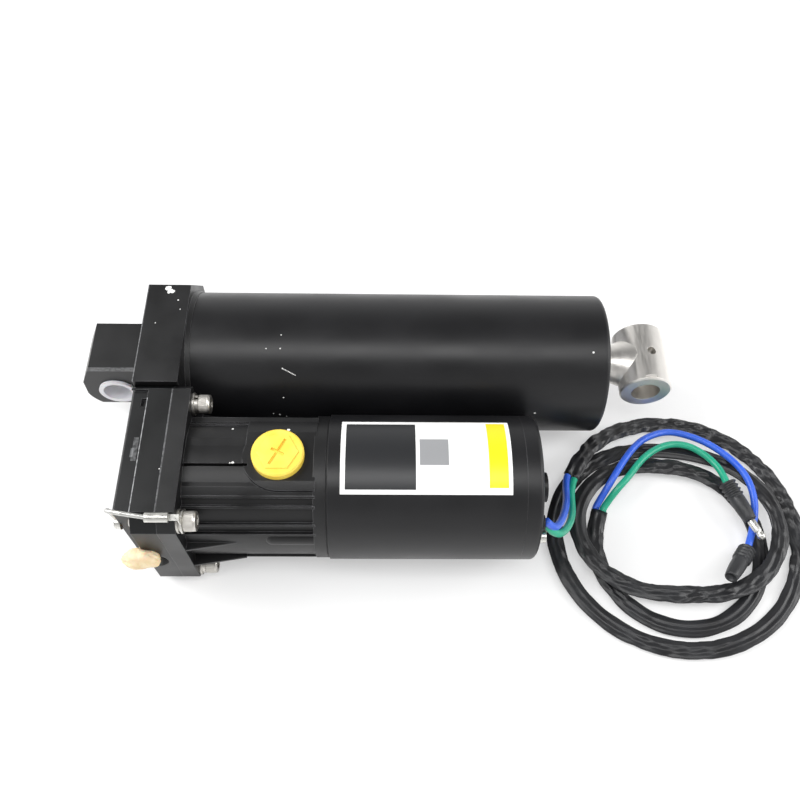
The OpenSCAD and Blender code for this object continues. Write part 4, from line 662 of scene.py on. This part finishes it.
def black_paint(name, colour, worn, roughness, grain_mm, height_mm, wear, cloud_mm=22, chips=(), highlight_lines=(),
                ior=1.45):
    """chips are (x, y, z, radius) and the grey lines, painted highlights along lit edges, are (x range, y
    range, z range, strength), in mm.
    """
    made, tree = new_material(name)
    place = add_node(tree, "ShaderNodeTexCoord").outputs["Object"]
    cloud = add_node(tree, "ShaderNodeTexNoise", {"Vector": place, "Scale": 1000 / cloud_mm, "Detail": 4.0})
    grain = add_node(tree, "ShaderNodeTexNoise", {"Vector": place, "Scale": 1000 / grain_mm, "Detail": 3.0})
    ragged = add_node(tree, "ShaderNodeTexNoise", {"Vector": place, "Scale": 1000 / RAGGED_MM, "Detail": 2.0})
    soft = add_node(tree, "ShaderNodeBevel", {"Radius": EDGE_MM * MM}, samples=BEVEL_SAMPLES)
    flat = add_node(tree, "ShaderNodeNewGeometry").outputs["True Normal"]
    bend = add_node(tree, "ShaderNodeVectorMath", {0: soft, 1: flat}, operation="DOT_PRODUCT")
    edge = add_node(tree, "ShaderNodeMapRange", {"Value": bend, "From Min": FLAT_COS, "From Max": EDGE_COS})
    patch = add_node(tree, "ShaderNodeMapRange", {"Value": cloud, "From Min": WORN_FROM,
                                                  "From Max": WORN_FULL})
    rubbed = add_node(tree, "ShaderNodeMath", {0: edge, 1: patch}, operation="MULTIPLY")
    rubbed = add_node(tree, "ShaderNodeMath", {0: rubbed, 1: wear}, operation="MULTIPLY")
    tint = add_node(tree, "ShaderNodeMapRange", {"Value": cloud, "From Min": NOISE_LOW,
                                                 "From Max": NOISE_HIGH, "To Min": DARKEST,
                                                 "To Max": LIGHTEST})
    base = add_node(tree, "ShaderNodeVectorMath", {0: srgb(colour)[:3], "Scale": tint}, operation="SCALE")
    paint = add_node(tree, "ShaderNodeMix", {MIX: rubbed, MIX_A: base, MIX_B: srgb(worn)}, data_type="RGBA")
    # Each grey line is a painted highlight along a lit edge, frayed by the ragged noise.
    for *ranges, strength in highlight_lines:
        axes = add_node(tree, "ShaderNodeSeparateXYZ", {0: place}).outputs
        seen = within(tree, zip(axes, map(in_m, ranges)))
        broken = add_node(tree, "ShaderNodeMapRange", {"Value": ragged, "From Min": 0.35, "From Max": 0.6,
                                                       "To Min": strength * 0.35, "To Max": strength})
        share = add_node(tree, "ShaderNodeMath", {0: seen, 1: broken}, operation="MULTIPLY")
        paint = add_node(tree, "ShaderNodeMix", {MIX: share, MIX_A: paint, MIX_B: srgb(EDGE_HIGHLIGHT_GREY)},
                         data_type="RGBA")
    for *middle, radius in chips:
        away = add_node(tree, "ShaderNodeVectorMath", {0: place, 1: in_m(middle)}, operation="DISTANCE")
        frayed = add_node(tree, "ShaderNodeMath", {0: ragged, 1: -radius * 1.6 * MM, 2: radius * 1.8 * MM},
                          operation="MULTIPLY_ADD")
        share = add_node(tree, "ShaderNodeMath", {0: away, 1: frayed}, operation="LESS_THAN")
        paint = add_node(tree, "ShaderNodeMix", {MIX: share, MIX_A: paint, MIX_B: srgb(CHIP_WHITE)},
                         data_type="RGBA")
    rough = add_node(tree, "ShaderNodeMapRange", {"Value": cloud, "From Min": NOISE_LOW,
                                                  "From Max": NOISE_HIGH, "To Min": roughness - 0.05,
                                                  "To Max": roughness + 0.06})
    end_material(tree, {"Base Color": paint, "Roughness": rough, "IOR": ior}, grain, height_mm, soft)
    return made


print("black paint ready, edges rounded by mm:", EDGE_MM)

# %% Four black paints
CASTING_CHIPS = [(76, -62.2, 40.9, 0.55), (78.3, -82.6, 43.8, 0.6), (77, -82.9, 43.8, 0.4),
                 (104.6, -63.8, 43.2, 0.9), (103.4, -64.5, 43, 0.6), (62, -70, 42, 0.25),
                 (118, -88, 43, 0.3)]
BLOCK_CHIPS = [(35, 20, 49.5, 1.7), (37.2, 18.2, 49.5, 1.4), (35.6, 17.6, 49.5, 1.0),
               (41.2, 12.2, 49.5, 0.4), (43, 6, 49.5, 0.35), (31, -3, 49.5, 0.3)]
# These grey lines are painted highlights along the block's lit edges.
BLOCK_HIGHLIGHT_LINES = [((24.0, 24.5), (-40, 41), (48.9, 49.6), 0.5), ((-20, 24), (-15.3, -14.7), (20, 26), 0.45)]
MANIFOLD_CHIPS = [(24.8, -112.6, 46, 1.1), (44, -88, 47.5, 0.3)]
# These grey lines are painted highlights along the manifold's lit edges and step.
MANIFOLD_HIGHLIGHT_LINES = [((32.3, 32.95), (-112, -48), (46.7, 47.6), 0.95),
                  ((23.5, 24.6), (-112, -40), (45.6, 46.1), 0.8),
                  ((28.9, 31.4), (-83, -70), (45.5, 46.5), 0.3),
                  ((28.2, 29.6), (-81, -76), (45.5, 46.5), 0.35),
                  ((44.4, 45.2), (-112, -40), (47, 48), 0.4)]
STEEL_CHIPS = [(97.6, -8.2, 46.6, 0.4), (97.3, -15.3, 44.4, 0.35), (89.9, -15.4, 44.3, 0.3),
               (98.5, -34.7, 26.2, 0.4), (92.1, -38.4, 15.2, 0.5), (95.6, -38.5, 14.3, 0.5),
               (99, -38.6, 13, 0.4), (264.6, -16.1, 44, 0.5), (235.7, -38.1, 16.9, 0.5), (215, -3, 47, 0.25)]
# One scratch on the tube is a row of small chips.
STEEL_CHIPS += [(98.6 + 6.6 * i / 9, -24.4 - 2.6 * i / 9, 38.9 - 2.3 * i / 9, 0.32) for i in range(10)]

casting_paint = black_paint("black_paint_on_aluminium", "#121213", "#77777a", 0.40, 1.3, 0.02, 0.6,
                            chips=CASTING_CHIPS)
block_paint = black_paint("black_paint_on_base_block", "#111112", "#77777a", 0.38, 1.3, 0.015, 0.6,
                          chips=BLOCK_CHIPS, highlight_lines=BLOCK_HIGHLIGHT_LINES)
manifold_paint = black_paint("black_paint_on_manifold", "#0d0e0f", "#77777a", 0.38, 1.3, 0.015, 0.6,
                             chips=MANIFOLD_CHIPS, highlight_lines=MANIFOLD_HIGHLIGHT_LINES, ior=1.38)
steel_paint = black_paint("black_paint_on_steel", "#121214", "#6a6a6d", 0.37, 0.9, 0.008, 0.3, 35,
                          chips=STEEL_CHIPS)
print("paints:", [paint.name for paint in (casting_paint, block_paint, manifold_paint, steel_paint)])

# %% [markdown]
# ## Metals
# Bare metals differ in two things: the colour of what they reflect, and the marks of how they were
# made. A turned face has fine rings round its axis, a drawn or ground one has fine lines along it,
# and a plated one has neither. One function makes the three from the direction of the marks and
# their spacing. The real spacing, about 0.1 mm, wouldn't show at half a millimetre to a pixel, so
# the marks are drawn 0.6 to 0.8 mm apart. Zinc plate gets a mottle of 2 mm instead.

# %% Metals
STAIN_MM, STAIN_FROM, STAIN_FULL = 6, 0.5, 0.75
POLISHED, METAL_SPREAD = 0.04, 0.08


def bare_metal(name, colour, roughness, mark_mm, stretch, height_mm=0.004, edge_mm=0.3, stain="#5d5b57",
               stain_share=0.25):
    """stretch is how much shorter the marks are along X, Y and Z than they are long."""
    made, tree = new_material(name)
    place = add_node(tree, "ShaderNodeTexCoord").outputs["Object"]
    drawn = add_node(tree, "ShaderNodeMapping", {"Vector": place, "Scale": stretch})
    marks = add_node(tree, "ShaderNodeTexNoise", {"Vector": drawn, "Scale": 1000 / mark_mm, "Detail": 2.0})
    cloud = add_node(tree, "ShaderNodeTexNoise", {"Vector": place, "Scale": 1000 / STAIN_MM, "Detail": 5.0})
    soft = add_node(tree, "ShaderNodeBevel", {"Radius": edge_mm * MM}, samples=BEVEL_SAMPLES)
    dull = add_node(tree, "ShaderNodeMapRange", {"Value": cloud, "From Min": STAIN_FROM,
                                                 "From Max": STAIN_FULL, "To Max": stain_share})
    base = add_node(tree, "ShaderNodeMix", {MIX: dull, MIX_A: srgb(colour), MIX_B: srgb(stain)},
                    data_type="RGBA")
    rough = add_node(tree, "ShaderNodeMapRange", {"Value": marks, "From Min": NOISE_LOW,
                                                  "From Max": NOISE_HIGH,
                                                  "To Min": max(roughness - METAL_SPREAD, POLISHED),
                                                  "To Max": roughness + METAL_SPREAD})
    end_material(tree, {"Base Color": base, "Metallic": 1.0, "Roughness": rough}, marks, height_mm, soft)
    return made


metals = {
    "stainless": bare_metal("ground_stainless", "#e6e3de", 0.36, 0.7, (1, 0.08, 0.08), stain_share=0.08),
    "screw": bare_metal("stainless_screws", "#c9c6c0", 0.36, 0.8, (0.2, 1, 1)),
    "chrome": bare_metal("hard_chrome", "#e4e5e7", 0.08, 0.6, (1, 0.05, 0.05), 0.002),
    "zinc": bare_metal("bright_zinc_plate", "#d6d5d0", 0.34, 2.0, (1, 1, 1)),
    "steel": bare_metal("turned_steel", "#a9a9ab", 0.32, 0.6, (1, 0.08, 0.08)),
    "aluminium": bare_metal("turned_aluminium", "#b9babd", 0.34, 0.6, (1, 0.08, 0.08)),
    "bronze": bare_metal("turned_bronze", "#b08a4a", 0.3, 0.6, (1, 0.08, 0.08), stain="#6b5a35"),
    "copper": bare_metal("enamelled_copper", "#a85f35", 0.3, 0.7, (0.2, 1, 1), 0.05, 0.2, "#5e2f1a"),
    "magnet": bare_metal("ferrite_magnet", "#5a5c60", 0.55, 0.8, (1, 1, 1), 0.02, 0.3, "#3a3b3e"),
    "tinned": bare_metal("tinned_braid", "#c9c9c6", 0.36, 0.6, (1, 1, 1), 0.02, 0.1),
}
print("metals:", sorted(metals))

# %% [markdown]
# ## Plastics, rubber and foam
# These are all dielectrics. Moulded nylon and the yellow cap are smooth with a little unevenness,
# rubber is nearly matte, the vinyl sleeve has a waxy sheen with fine creases, and the foam is matte
# and full of small pores. The grain of each is given by its size and height in millimetres.

# %% Moulded finishes
SHADE_FROM, SHADE_FULL = 0.35, 0.7
MOULDED_SPREAD, MOULDED_IOR = 0.05, 1.5
LIGHT_DEPTH = 0.001     # how far light wanders inside nylon and foam, m


def moulded(name, colour, shade, roughness, grain_mm, height_mm, patch_mm=8, coat=0.0, edge_mm=0.3,
            subsurface=0.0):
    """A surface that changes a little from colour to shade in patches."""
    made, tree = new_material(name)
    place = add_node(tree, "ShaderNodeTexCoord").outputs["Object"]
    patch = add_node(tree, "ShaderNodeTexNoise", {"Vector": place, "Scale": 1000 / patch_mm, "Detail": 4.0})
    grain = add_node(tree, "ShaderNodeTexNoise", {"Vector": place, "Scale": 1000 / grain_mm, "Detail": 3.0})
    soft = add_node(tree, "ShaderNodeBevel", {"Radius": edge_mm * MM}, samples=BEVEL_SAMPLES)
    share = add_node(tree, "ShaderNodeMapRange", {"Value": patch, "From Min": SHADE_FROM,
                                                  "From Max": SHADE_FULL})
    base = add_node(tree, "ShaderNodeMix", {MIX: share, MIX_A: srgb(colour), MIX_B: srgb(shade)},
                    data_type="RGBA")
    rough = add_node(tree, "ShaderNodeMapRange", {"Value": patch, "From Min": NOISE_LOW,
                                                  "From Max": NOISE_HIGH,
                                                  "To Min": roughness - MOULDED_SPREAD,
                                                  "To Max": roughness + MOULDED_SPREAD})
    end_material(tree, {"Base Color": base, "Roughness": rough, "IOR": MOULDED_IOR, "Coat Weight": coat,
                        "Subsurface Weight": subsurface, "Subsurface Scale": LIGHT_DEPTH},
                 grain, height_mm, soft)
    return made


plastics = {
    "nylon": moulded("white_nylon", "#eeedf0", "#e0dfe4", 0.4, 1.5, 0.01, subsurface=0.1),
    "yellow": moulded("yellow_moulded_cap", "#f6d85c", "#efcb45", 0.42, 2.0, 0.012),
    "rubber": moulded("black_seal_rubber", "#101011", "#161617", 0.6, 1.0, 0.01),
    "boot": moulded("black_boot_rubber", "#222325", "#2c2d30", 0.42, 1.2, 0.02),
    "phenolic": moulded("brown_phenolic", "#5a3c22", "#4a301b", 0.55, 0.8, 0.02),
    "blue": moulded("blue_wire_vinyl", "#2a5bd2", "#3768dc", 0.36, 3.0, 0.015, coat=0.1),
    "green": moulded("green_wire_vinyl", "#1a9e7c", "#25a986", 0.36, 3.0, 0.015, coat=0.1),
    "sleeve": moulded("black_sleeve_vinyl", "#19191b", "#222326", 0.36, 3.2, 0.05, 14, edge_mm=0.15),
    "foam": moulded("cream_foam", "#ecd9b8", "#e0c79a", 0.85, 1.1, 0.25, 5, subsurface=0.3),
}
print("plastics:", sorted(plastics))

# %% [markdown]
# ## Sticker
# A printed film is wrapped round the top of the motor: white, with a dark panel, a small grey square
# and a yellow band. These fields are cut out by the distance along the motor and the angle round its
# axis, both read from Object coordinates, so they can't slide.

# %% Sticker material
MOTOR_Y, MOTOR_Z = -0.079, 0.0085       # the motor's axis, m
PAPER_MM, PAPER_RIPPLE_MM = 9, 0.04
FIELDS = (                              # from and to along the motor in mm, degrees round it, colour
    ((133.7, 168.5), (-27, 31), "#232426"),
    ((170.4, 184.8), (-8.6, 13.6), "#8f9092"),
    ((204.5, 214), (-25.4, 32.5), "#f3d21c"),
)

sticker_film, tree = new_material("printed_white_film")
place = add_node(tree, "ShaderNodeTexCoord").outputs["Object"]
axes = add_node(tree, "ShaderNodeSeparateXYZ", {0: place}).outputs
forward = add_node(tree, "ShaderNodeMath", {0: axes["Y"], 1: -MOTOR_Y}, operation="ADD")
rise = add_node(tree, "ShaderNodeMath", {0: axes["Z"], 1: MOTOR_Z}, operation="SUBTRACT")
turn = add_node(tree, "ShaderNodeMath", {0: forward, 1: rise}, operation="ARCTAN2")
paper = add_node(tree, "ShaderNodeTexNoise", {"Vector": place, "Scale": 1000 / PAPER_MM, "Detail": 3.0})
ground = add_node(tree, "ShaderNodeMix", {MIX: paper, MIX_A: srgb("#f4f4f2"), MIX_B: srgb("#e9e9e8")},
                  data_type="RGBA")
for along_mm, degrees, ink in FIELDS:
    field = within(tree, ((axes["X"], in_m(along_mm)), (turn, map(math.radians, degrees))))
    ground = add_node(tree, "ShaderNodeMix", {MIX: field, MIX_A: ground, MIX_B: srgb(ink)}, data_type="RGBA")
end_material(tree, {"Base Color": ground, "Roughness": 0.35, "IOR": 1.48}, paper, PAPER_RIPPLE_MM)
print("sticker fields:", len(FIELDS))

# %% [markdown]
# ## Screws and washers
# Four socket screws hold the reservoir. Their heads have a knurled rim for the fingers, a chamfer
# and a hexagon socket. One screw is modelled in code round the X axis, and a Geometry Nodes tree
# puts it at the four places, each turned by its own angle from a fixed seed, as real screws stop
# where they are tight. The tree's inputs are the screw, the seed and the material.

# %% One screw
FLUTES, SCREW_SIDES, FLUTE_DEPTH = 48, 192, 0.13


def round_x(x, r, a):
    """Point x along the X axis, at radius r and angle a round it, from mm to metres."""
    return Vector((x, r * math.sin(a), r * math.cos(a))) * MM


def plain_r(r, a):
    return r


def knurled_r(r, a):
    return r - FLUTE_DEPTH * abs(math.sin(a * FLUTES / 2))


def hexagon_r(r, a):
    """Radius at an angle of a hexagon whose flats stand r from the axis."""
    return r / math.cos(a % (math.pi / 3) - math.pi / 6)


# The shank's end, the head's back, its knurled rim, its chamfer and the socket.
SCREW_PROFILE = (
    (-26, 0.01, plain_r), (-26, 2.6, plain_r), (-25.6, 3, plain_r), (0, 3, plain_r),
    (0, 4.7, plain_r), (0.25, 4.95, plain_r), (0.6, 5.0, knurled_r), (4.6, 5.0, knurled_r),
    (5.2, 5.0, plain_r), (5.6, 4.95, plain_r), (6.05, 4.6, plain_r), (6.2, 4.3, plain_r),
    (6.2, 2.95, plain_r), (6.0, 2.5, hexagon_r), (3.1, 2.5, hexagon_r), (2.7, 0.01, plain_r),
)
points = [round_x(x, radius(r, a), a) for x, r, radius in SCREW_PROFILE for a in angles(SCREW_SIDES)]
one_screw = make_piece("one_socket_screw", points, ring_faces(len(SCREW_PROFILE), SCREW_SIDES), smooth=False)
print("screw faces:", len(one_screw.data.polygons))

# %% One washer stack
WASHER_SIDES, SPRING_STEPS = 60, 56
WASHER_T, BORE_R, SPRING_R = 1.2, 3.35, 4.95
HALF_GAP, SPRING_CLIMB = math.radians(8), 0.25
FLAT_WASHER = ((0.02, BORE_R), (0.02, 5.85), (0.15, 6.0), (1.05, 6.0), (WASHER_T, 5.85), (WASHER_T, BORE_R))


def washer_stack(name, spring_t):
    """Flat washer and split spring washer, in mm, from x = 0."""
    points = [round_x(x, r, a) for x, r in FLAT_WASHER for a in angles(WASHER_SIDES)]
    faces = ring_faces(len(FLAT_WASHER), WASHER_SIDES, loop=True)
    start = len(points)
    for i in range(SPRING_STEPS + 1):
        a = HALF_GAP + (2 * math.pi - 2 * HALF_GAP) * i / SPRING_STEPS
        climb = SPRING_CLIMB * (i / SPRING_STEPS - 0.5)
        low, high = WASHER_T + max(climb, 0), WASHER_T + spring_t + min(climb, 0)
        points += [round_x(x, r, a)
                   for x, r in ((low, BORE_R), (low, SPRING_R), (high, SPRING_R), (high, BORE_R))]
    return make_piece(name, points, faces + ring_faces(SPRING_STEPS + 1, 4, start), smooth=False)


one_stack, thin_stack = washer_stack("one_washer_stack", 1.8), washer_stack("thin_washer_stack", 1.0)
print("washer faces:", len(one_stack.data.polygons))

# %% Tree that puts a part at points
def place_tree():
    """Geometry Nodes: the input part at every point, turned about X by a random angle."""
    tree = bpy.data.node_groups.new("fasteners_at_points", "GeometryNodeTree")
    for name, kind in (("Points", "Geometry"), ("Part", "Object"), ("Seed", "Int"), ("Finish", "Material")):
        tree.interface.new_socket(name, in_out="INPUT", socket_type="NodeSocket" + kind)
    tree.interface.new_socket("Geometry", in_out="OUTPUT", socket_type="NodeSocketGeometry")
    group = add_node(tree, "NodeGroupInput").outputs
    part = add_node(tree, "GeometryNodeObjectInfo", {"Object": group["Part"]}).outputs["Geometry"]
    angle = add_node(tree, "FunctionNodeRandomValue", {2: 0.0, 3: 2 * math.pi, "Seed": group["Seed"]},
                     data_type="FLOAT")
    spin = add_node(tree, "ShaderNodeCombineXYZ", {"X": angle})
    placed = add_node(tree, "GeometryNodeInstanceOnPoints", {"Points": group["Points"], "Instance": part,
                                                             "Rotation": spin})
    real = add_node(tree, "GeometryNodeRealizeInstances", {0: placed})
    finished = add_node(tree, "GeometryNodeSetMaterial", {"Geometry": real, "Material": group["Finish"]})
    add_node(tree, "NodeGroupOutput", {0: finished})
    return tree


fasteners_at_points = place_tree()


def at_points(name, part, places, seed, finish):
    """Runs the tree on the places, in metres, and returns the result as a plain mesh object."""
    mesh = bpy.data.meshes.new(name + "_points")
    mesh.from_pydata(places, [], [])
    holder = bpy.data.objects.new(name + "_points", mesh)
    bpy.context.scene.collection.objects.link(holder)
    modifier = holder.modifiers.new("places", "NODES")
    modifier.node_group = fasteners_at_points
    values = {"Part": part, "Seed": seed, "Finish": finish}
    for item in fasteners_at_points.interface.items_tree:
        if item.item_type == "SOCKET" and item.in_out == "INPUT" and item.name in values:
            modifier[item.identifier] = values[item.name]
    bpy.context.view_layer.update()
    graph = bpy.context.evaluated_depsgraph_get()
    made = bpy.data.objects.new(name, bpy.data.meshes.new_from_object(holder.evaluated_get(graph)))
    bpy.context.scene.collection.objects.link(made)
    holder.modifiers.clear()
    bpy.data.objects.remove(holder)
    return made


print("tree nodes:", len(fasteners_at_points.nodes))

# %% Screws and washers in place
HEAD_SEAT, FLANGE = 57, 54              # x of the heads' undersides and of the flange, mm
SCREW_PLACES = [(y, z) for y in (-111.5, -46.5) for z in (-21.5, 38.5)]
UNDER_LUG = (-111.5, 38.5)              # the terminal leaves less room for this spring washer
FASTENERS = (                           # name, part, x, places, seed, CAD node
    ("flange_socket_screws", one_screw, HEAD_SEAT, SCREW_PLACES, 4, "flange_screws"),
    ("washer_stacks", one_stack, FLANGE, [p for p in SCREW_PLACES if p != UNDER_LUG], 9, "lock_washers"),
    ("washer_stack_under_lug", thin_stack, FLANGE, [UNDER_LUG], 5, "lock_washers"),
)
fasteners = [(at_points(name, part, [in_m((x, y, z)) for y, z in places], seed, metals["screw"]), node)
             for name, part, x, places, seed, node in FASTENERS]
for used in (one_screw, one_stack, thin_stack):
    bpy.data.objects.remove(used)
for piece, node in fasteners:
    stand_for(piece, node, "stainless")
    print(piece.name, "faces:", len(piece.data.polygons))

# %% [markdown]
# ## Foam bung
# The open port is closed for shipping with a torn lump of cream foam. It is pushed in and sags out of
# the hole. The lump is a stretched sphere, and noise at three sizes tears its surface. A plain stub
# behind it goes into the port.

# %% Foam bung
LUMP_MIDDLE, LUMP_REACH = Vector((31.2, -120.9, 12.0)), Vector((9.4, 5.0, 8.4))
LUMP_RINGS, LUMP_SIDES, STUB_SIDES = 26, 48, 40
POLE_START, POLE_TRIM = 0.02, 0.96      # keep the first and last ring just off the poles
LUMP_SAG = 0.014                        # drop for each square millimetre off the middle
STUB_START = (32.4, -119.4, 5.0)
STUB_PROFILE = [(0, 0.1), (0, 4.2), (0.8, 4.8), (3, 5.1), (11, 5.1), (13, 4.2), (13, 0.1)]


def lump_size(way):
    """Share of its reach that the lump has in a direction."""
    return (1 + 0.2 * noise.noise(way * 1.6 + Vector((3, 1, 7))) + 0.1 * noise.noise(way * 4.2)
            + 0.05 * noise.noise(way * 9))


def foam_lump():
    """A torn rounded lump outside the port, and a stub in it."""
    points = []
    for i in range(LUMP_RINGS):
        polar = math.pi * (i + POLE_START) / (LUMP_RINGS - POLE_TRIM)
        for a in angles(LUMP_SIDES):
            way = Vector((math.cos(polar), math.sin(polar) * math.cos(a), math.sin(polar) * math.sin(a)))
            at = way * LUMP_REACH * lump_size(way)
            at.z -= LUMP_SAG * at.x * at.x
            points.append((LUMP_MIDDLE + at) * MM)
    more, more_faces = turned(STUB_PROFILE, STUB_START, (0, 1, 0), STUB_SIDES, len(points))
    return points + [p * MM for p in more], ring_faces(LUMP_RINGS, LUMP_SIDES) + more_faces


foam_bung = make_piece("cream_foam_bung", *foam_lump())
finer = foam_bung.modifiers.new("finer", "SUBSURF")
finer.levels = finer.render_levels = 1
foam_bung.data.materials.append(plastics["foam"])
stand_for(foam_bung, "port_foam", "foam")

# %% [markdown]
# ## Weld at the rod's end
# The eye is welded to the rod with a wide ground fillet. Its far edge has to follow the eye, which is
# a cylinder across the rod, so each point's end along the rod is worked out from the eye's radius.
# It rides on the eye's body, so it goes out and turns with it.

# %% Weld fillet
ROD_Z, ROD_R, EYE_X, EYE_R = 8.5, 10.0, 302.0, 14.5
FILLET_START, FILLET_R, FILLET_SIDES, FILLET_STEPS = 278.5, 13.4, 72, 22
INNER_SHARE = 0.7       # the inner wall is hidden in the rod, at this share of the outer radius
IN_EYE = 0.5            # how far the fillet's edge goes into the eye, mm
BEAD_HEIGHT, BEADS = 0.22, 4.5


def fillet_point(share, scale, a):
    """Point at a share of the fillet's length and an angle round the rod."""
    r = (ROD_R + 0.1 + (FILLET_R - ROD_R) * share ** 1.7) * scale
    if scale == 1.0:
        r += (BEAD_HEIGHT * math.sin(2 * math.pi * BEADS * share) * share
              * noise.noise(Vector((3 * math.cos(a), 3 * math.sin(a), share * 4))))
    end = EYE_X - math.sqrt(EYE_R ** 2 - (r * math.sin(a)) ** 2) + IN_EYE
    along = FILLET_START + (end - FILLET_START) * share
    return Vector((along, r * math.cos(a), ROD_Z + r * math.sin(a))) * MM


fillet_rings = [(i / FILLET_STEPS, 1.0) for i in range(FILLET_STEPS + 1)]
fillet_rings += [(1.0, INNER_SHARE), (0.0, INNER_SHARE)]
points = [fillet_point(*ring, a) for ring in fillet_rings for a in angles(FILLET_SIDES)]
fillet = make_piece("weld_fillet", points, ring_faces(len(fillet_rings), FILLET_SIDES, loop=True))
fillet.data.materials.append(metals["stainless"])
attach(fillet, "ram")
print("fillet faces:", len(fillet.data.polygons))

# %% [markdown]
# ## Finishes on the CAD pieces
# A CAD piece whose shape is right keeps its mesh and gets a finish in its material slots. The record
# names a finish for every node, so one table turns those names into Blender materials. The block and
# the manifold are named on their own, because each has its own chips and its own painted highlight
# lines along lit edges.

# %% Put the finishes on
FINISHES = {
    "black_casting": casting_paint, "black_paint": steel_paint, "machined_aluminium": metals["aluminium"],
    "stainless": metals["stainless"], "chrome_rod": metals["chrome"], "steel": metals["steel"],
    "zinc_steel": metals["zinc"], "bronze": metals["bronze"], "copper": metals["copper"],
    "magnet": metals["magnet"], "nylon_white": plastics["nylon"], "phenolic": plastics["phenolic"],
    "yellow_plastic": plastics["yellow"], "foam": plastics["foam"], "seal_rubber": plastics["rubber"],
    "boot_rubber": plastics["boot"], "sleeve_vinyl": plastics["sleeve"], "blue_vinyl": plastics["blue"],
    "green_vinyl": plastics["green"], "bare_wire": metals["tinned"], "sticker_film": sticker_film,
}
for part in frame["record"]["subparts"]:
    node = frame["nodes"][part["node"]]
    node.data.materials.clear()
    node.data.materials.append(FINISHES[part["material_slot"]])
for node, finish in (("base_block", block_paint), ("pump_manifold", manifold_paint)):
    frame["nodes"][node].data.materials[0] = finish
for piece, node, slot in HARNESS:
    piece.data.materials.append(FINISHES[slot])
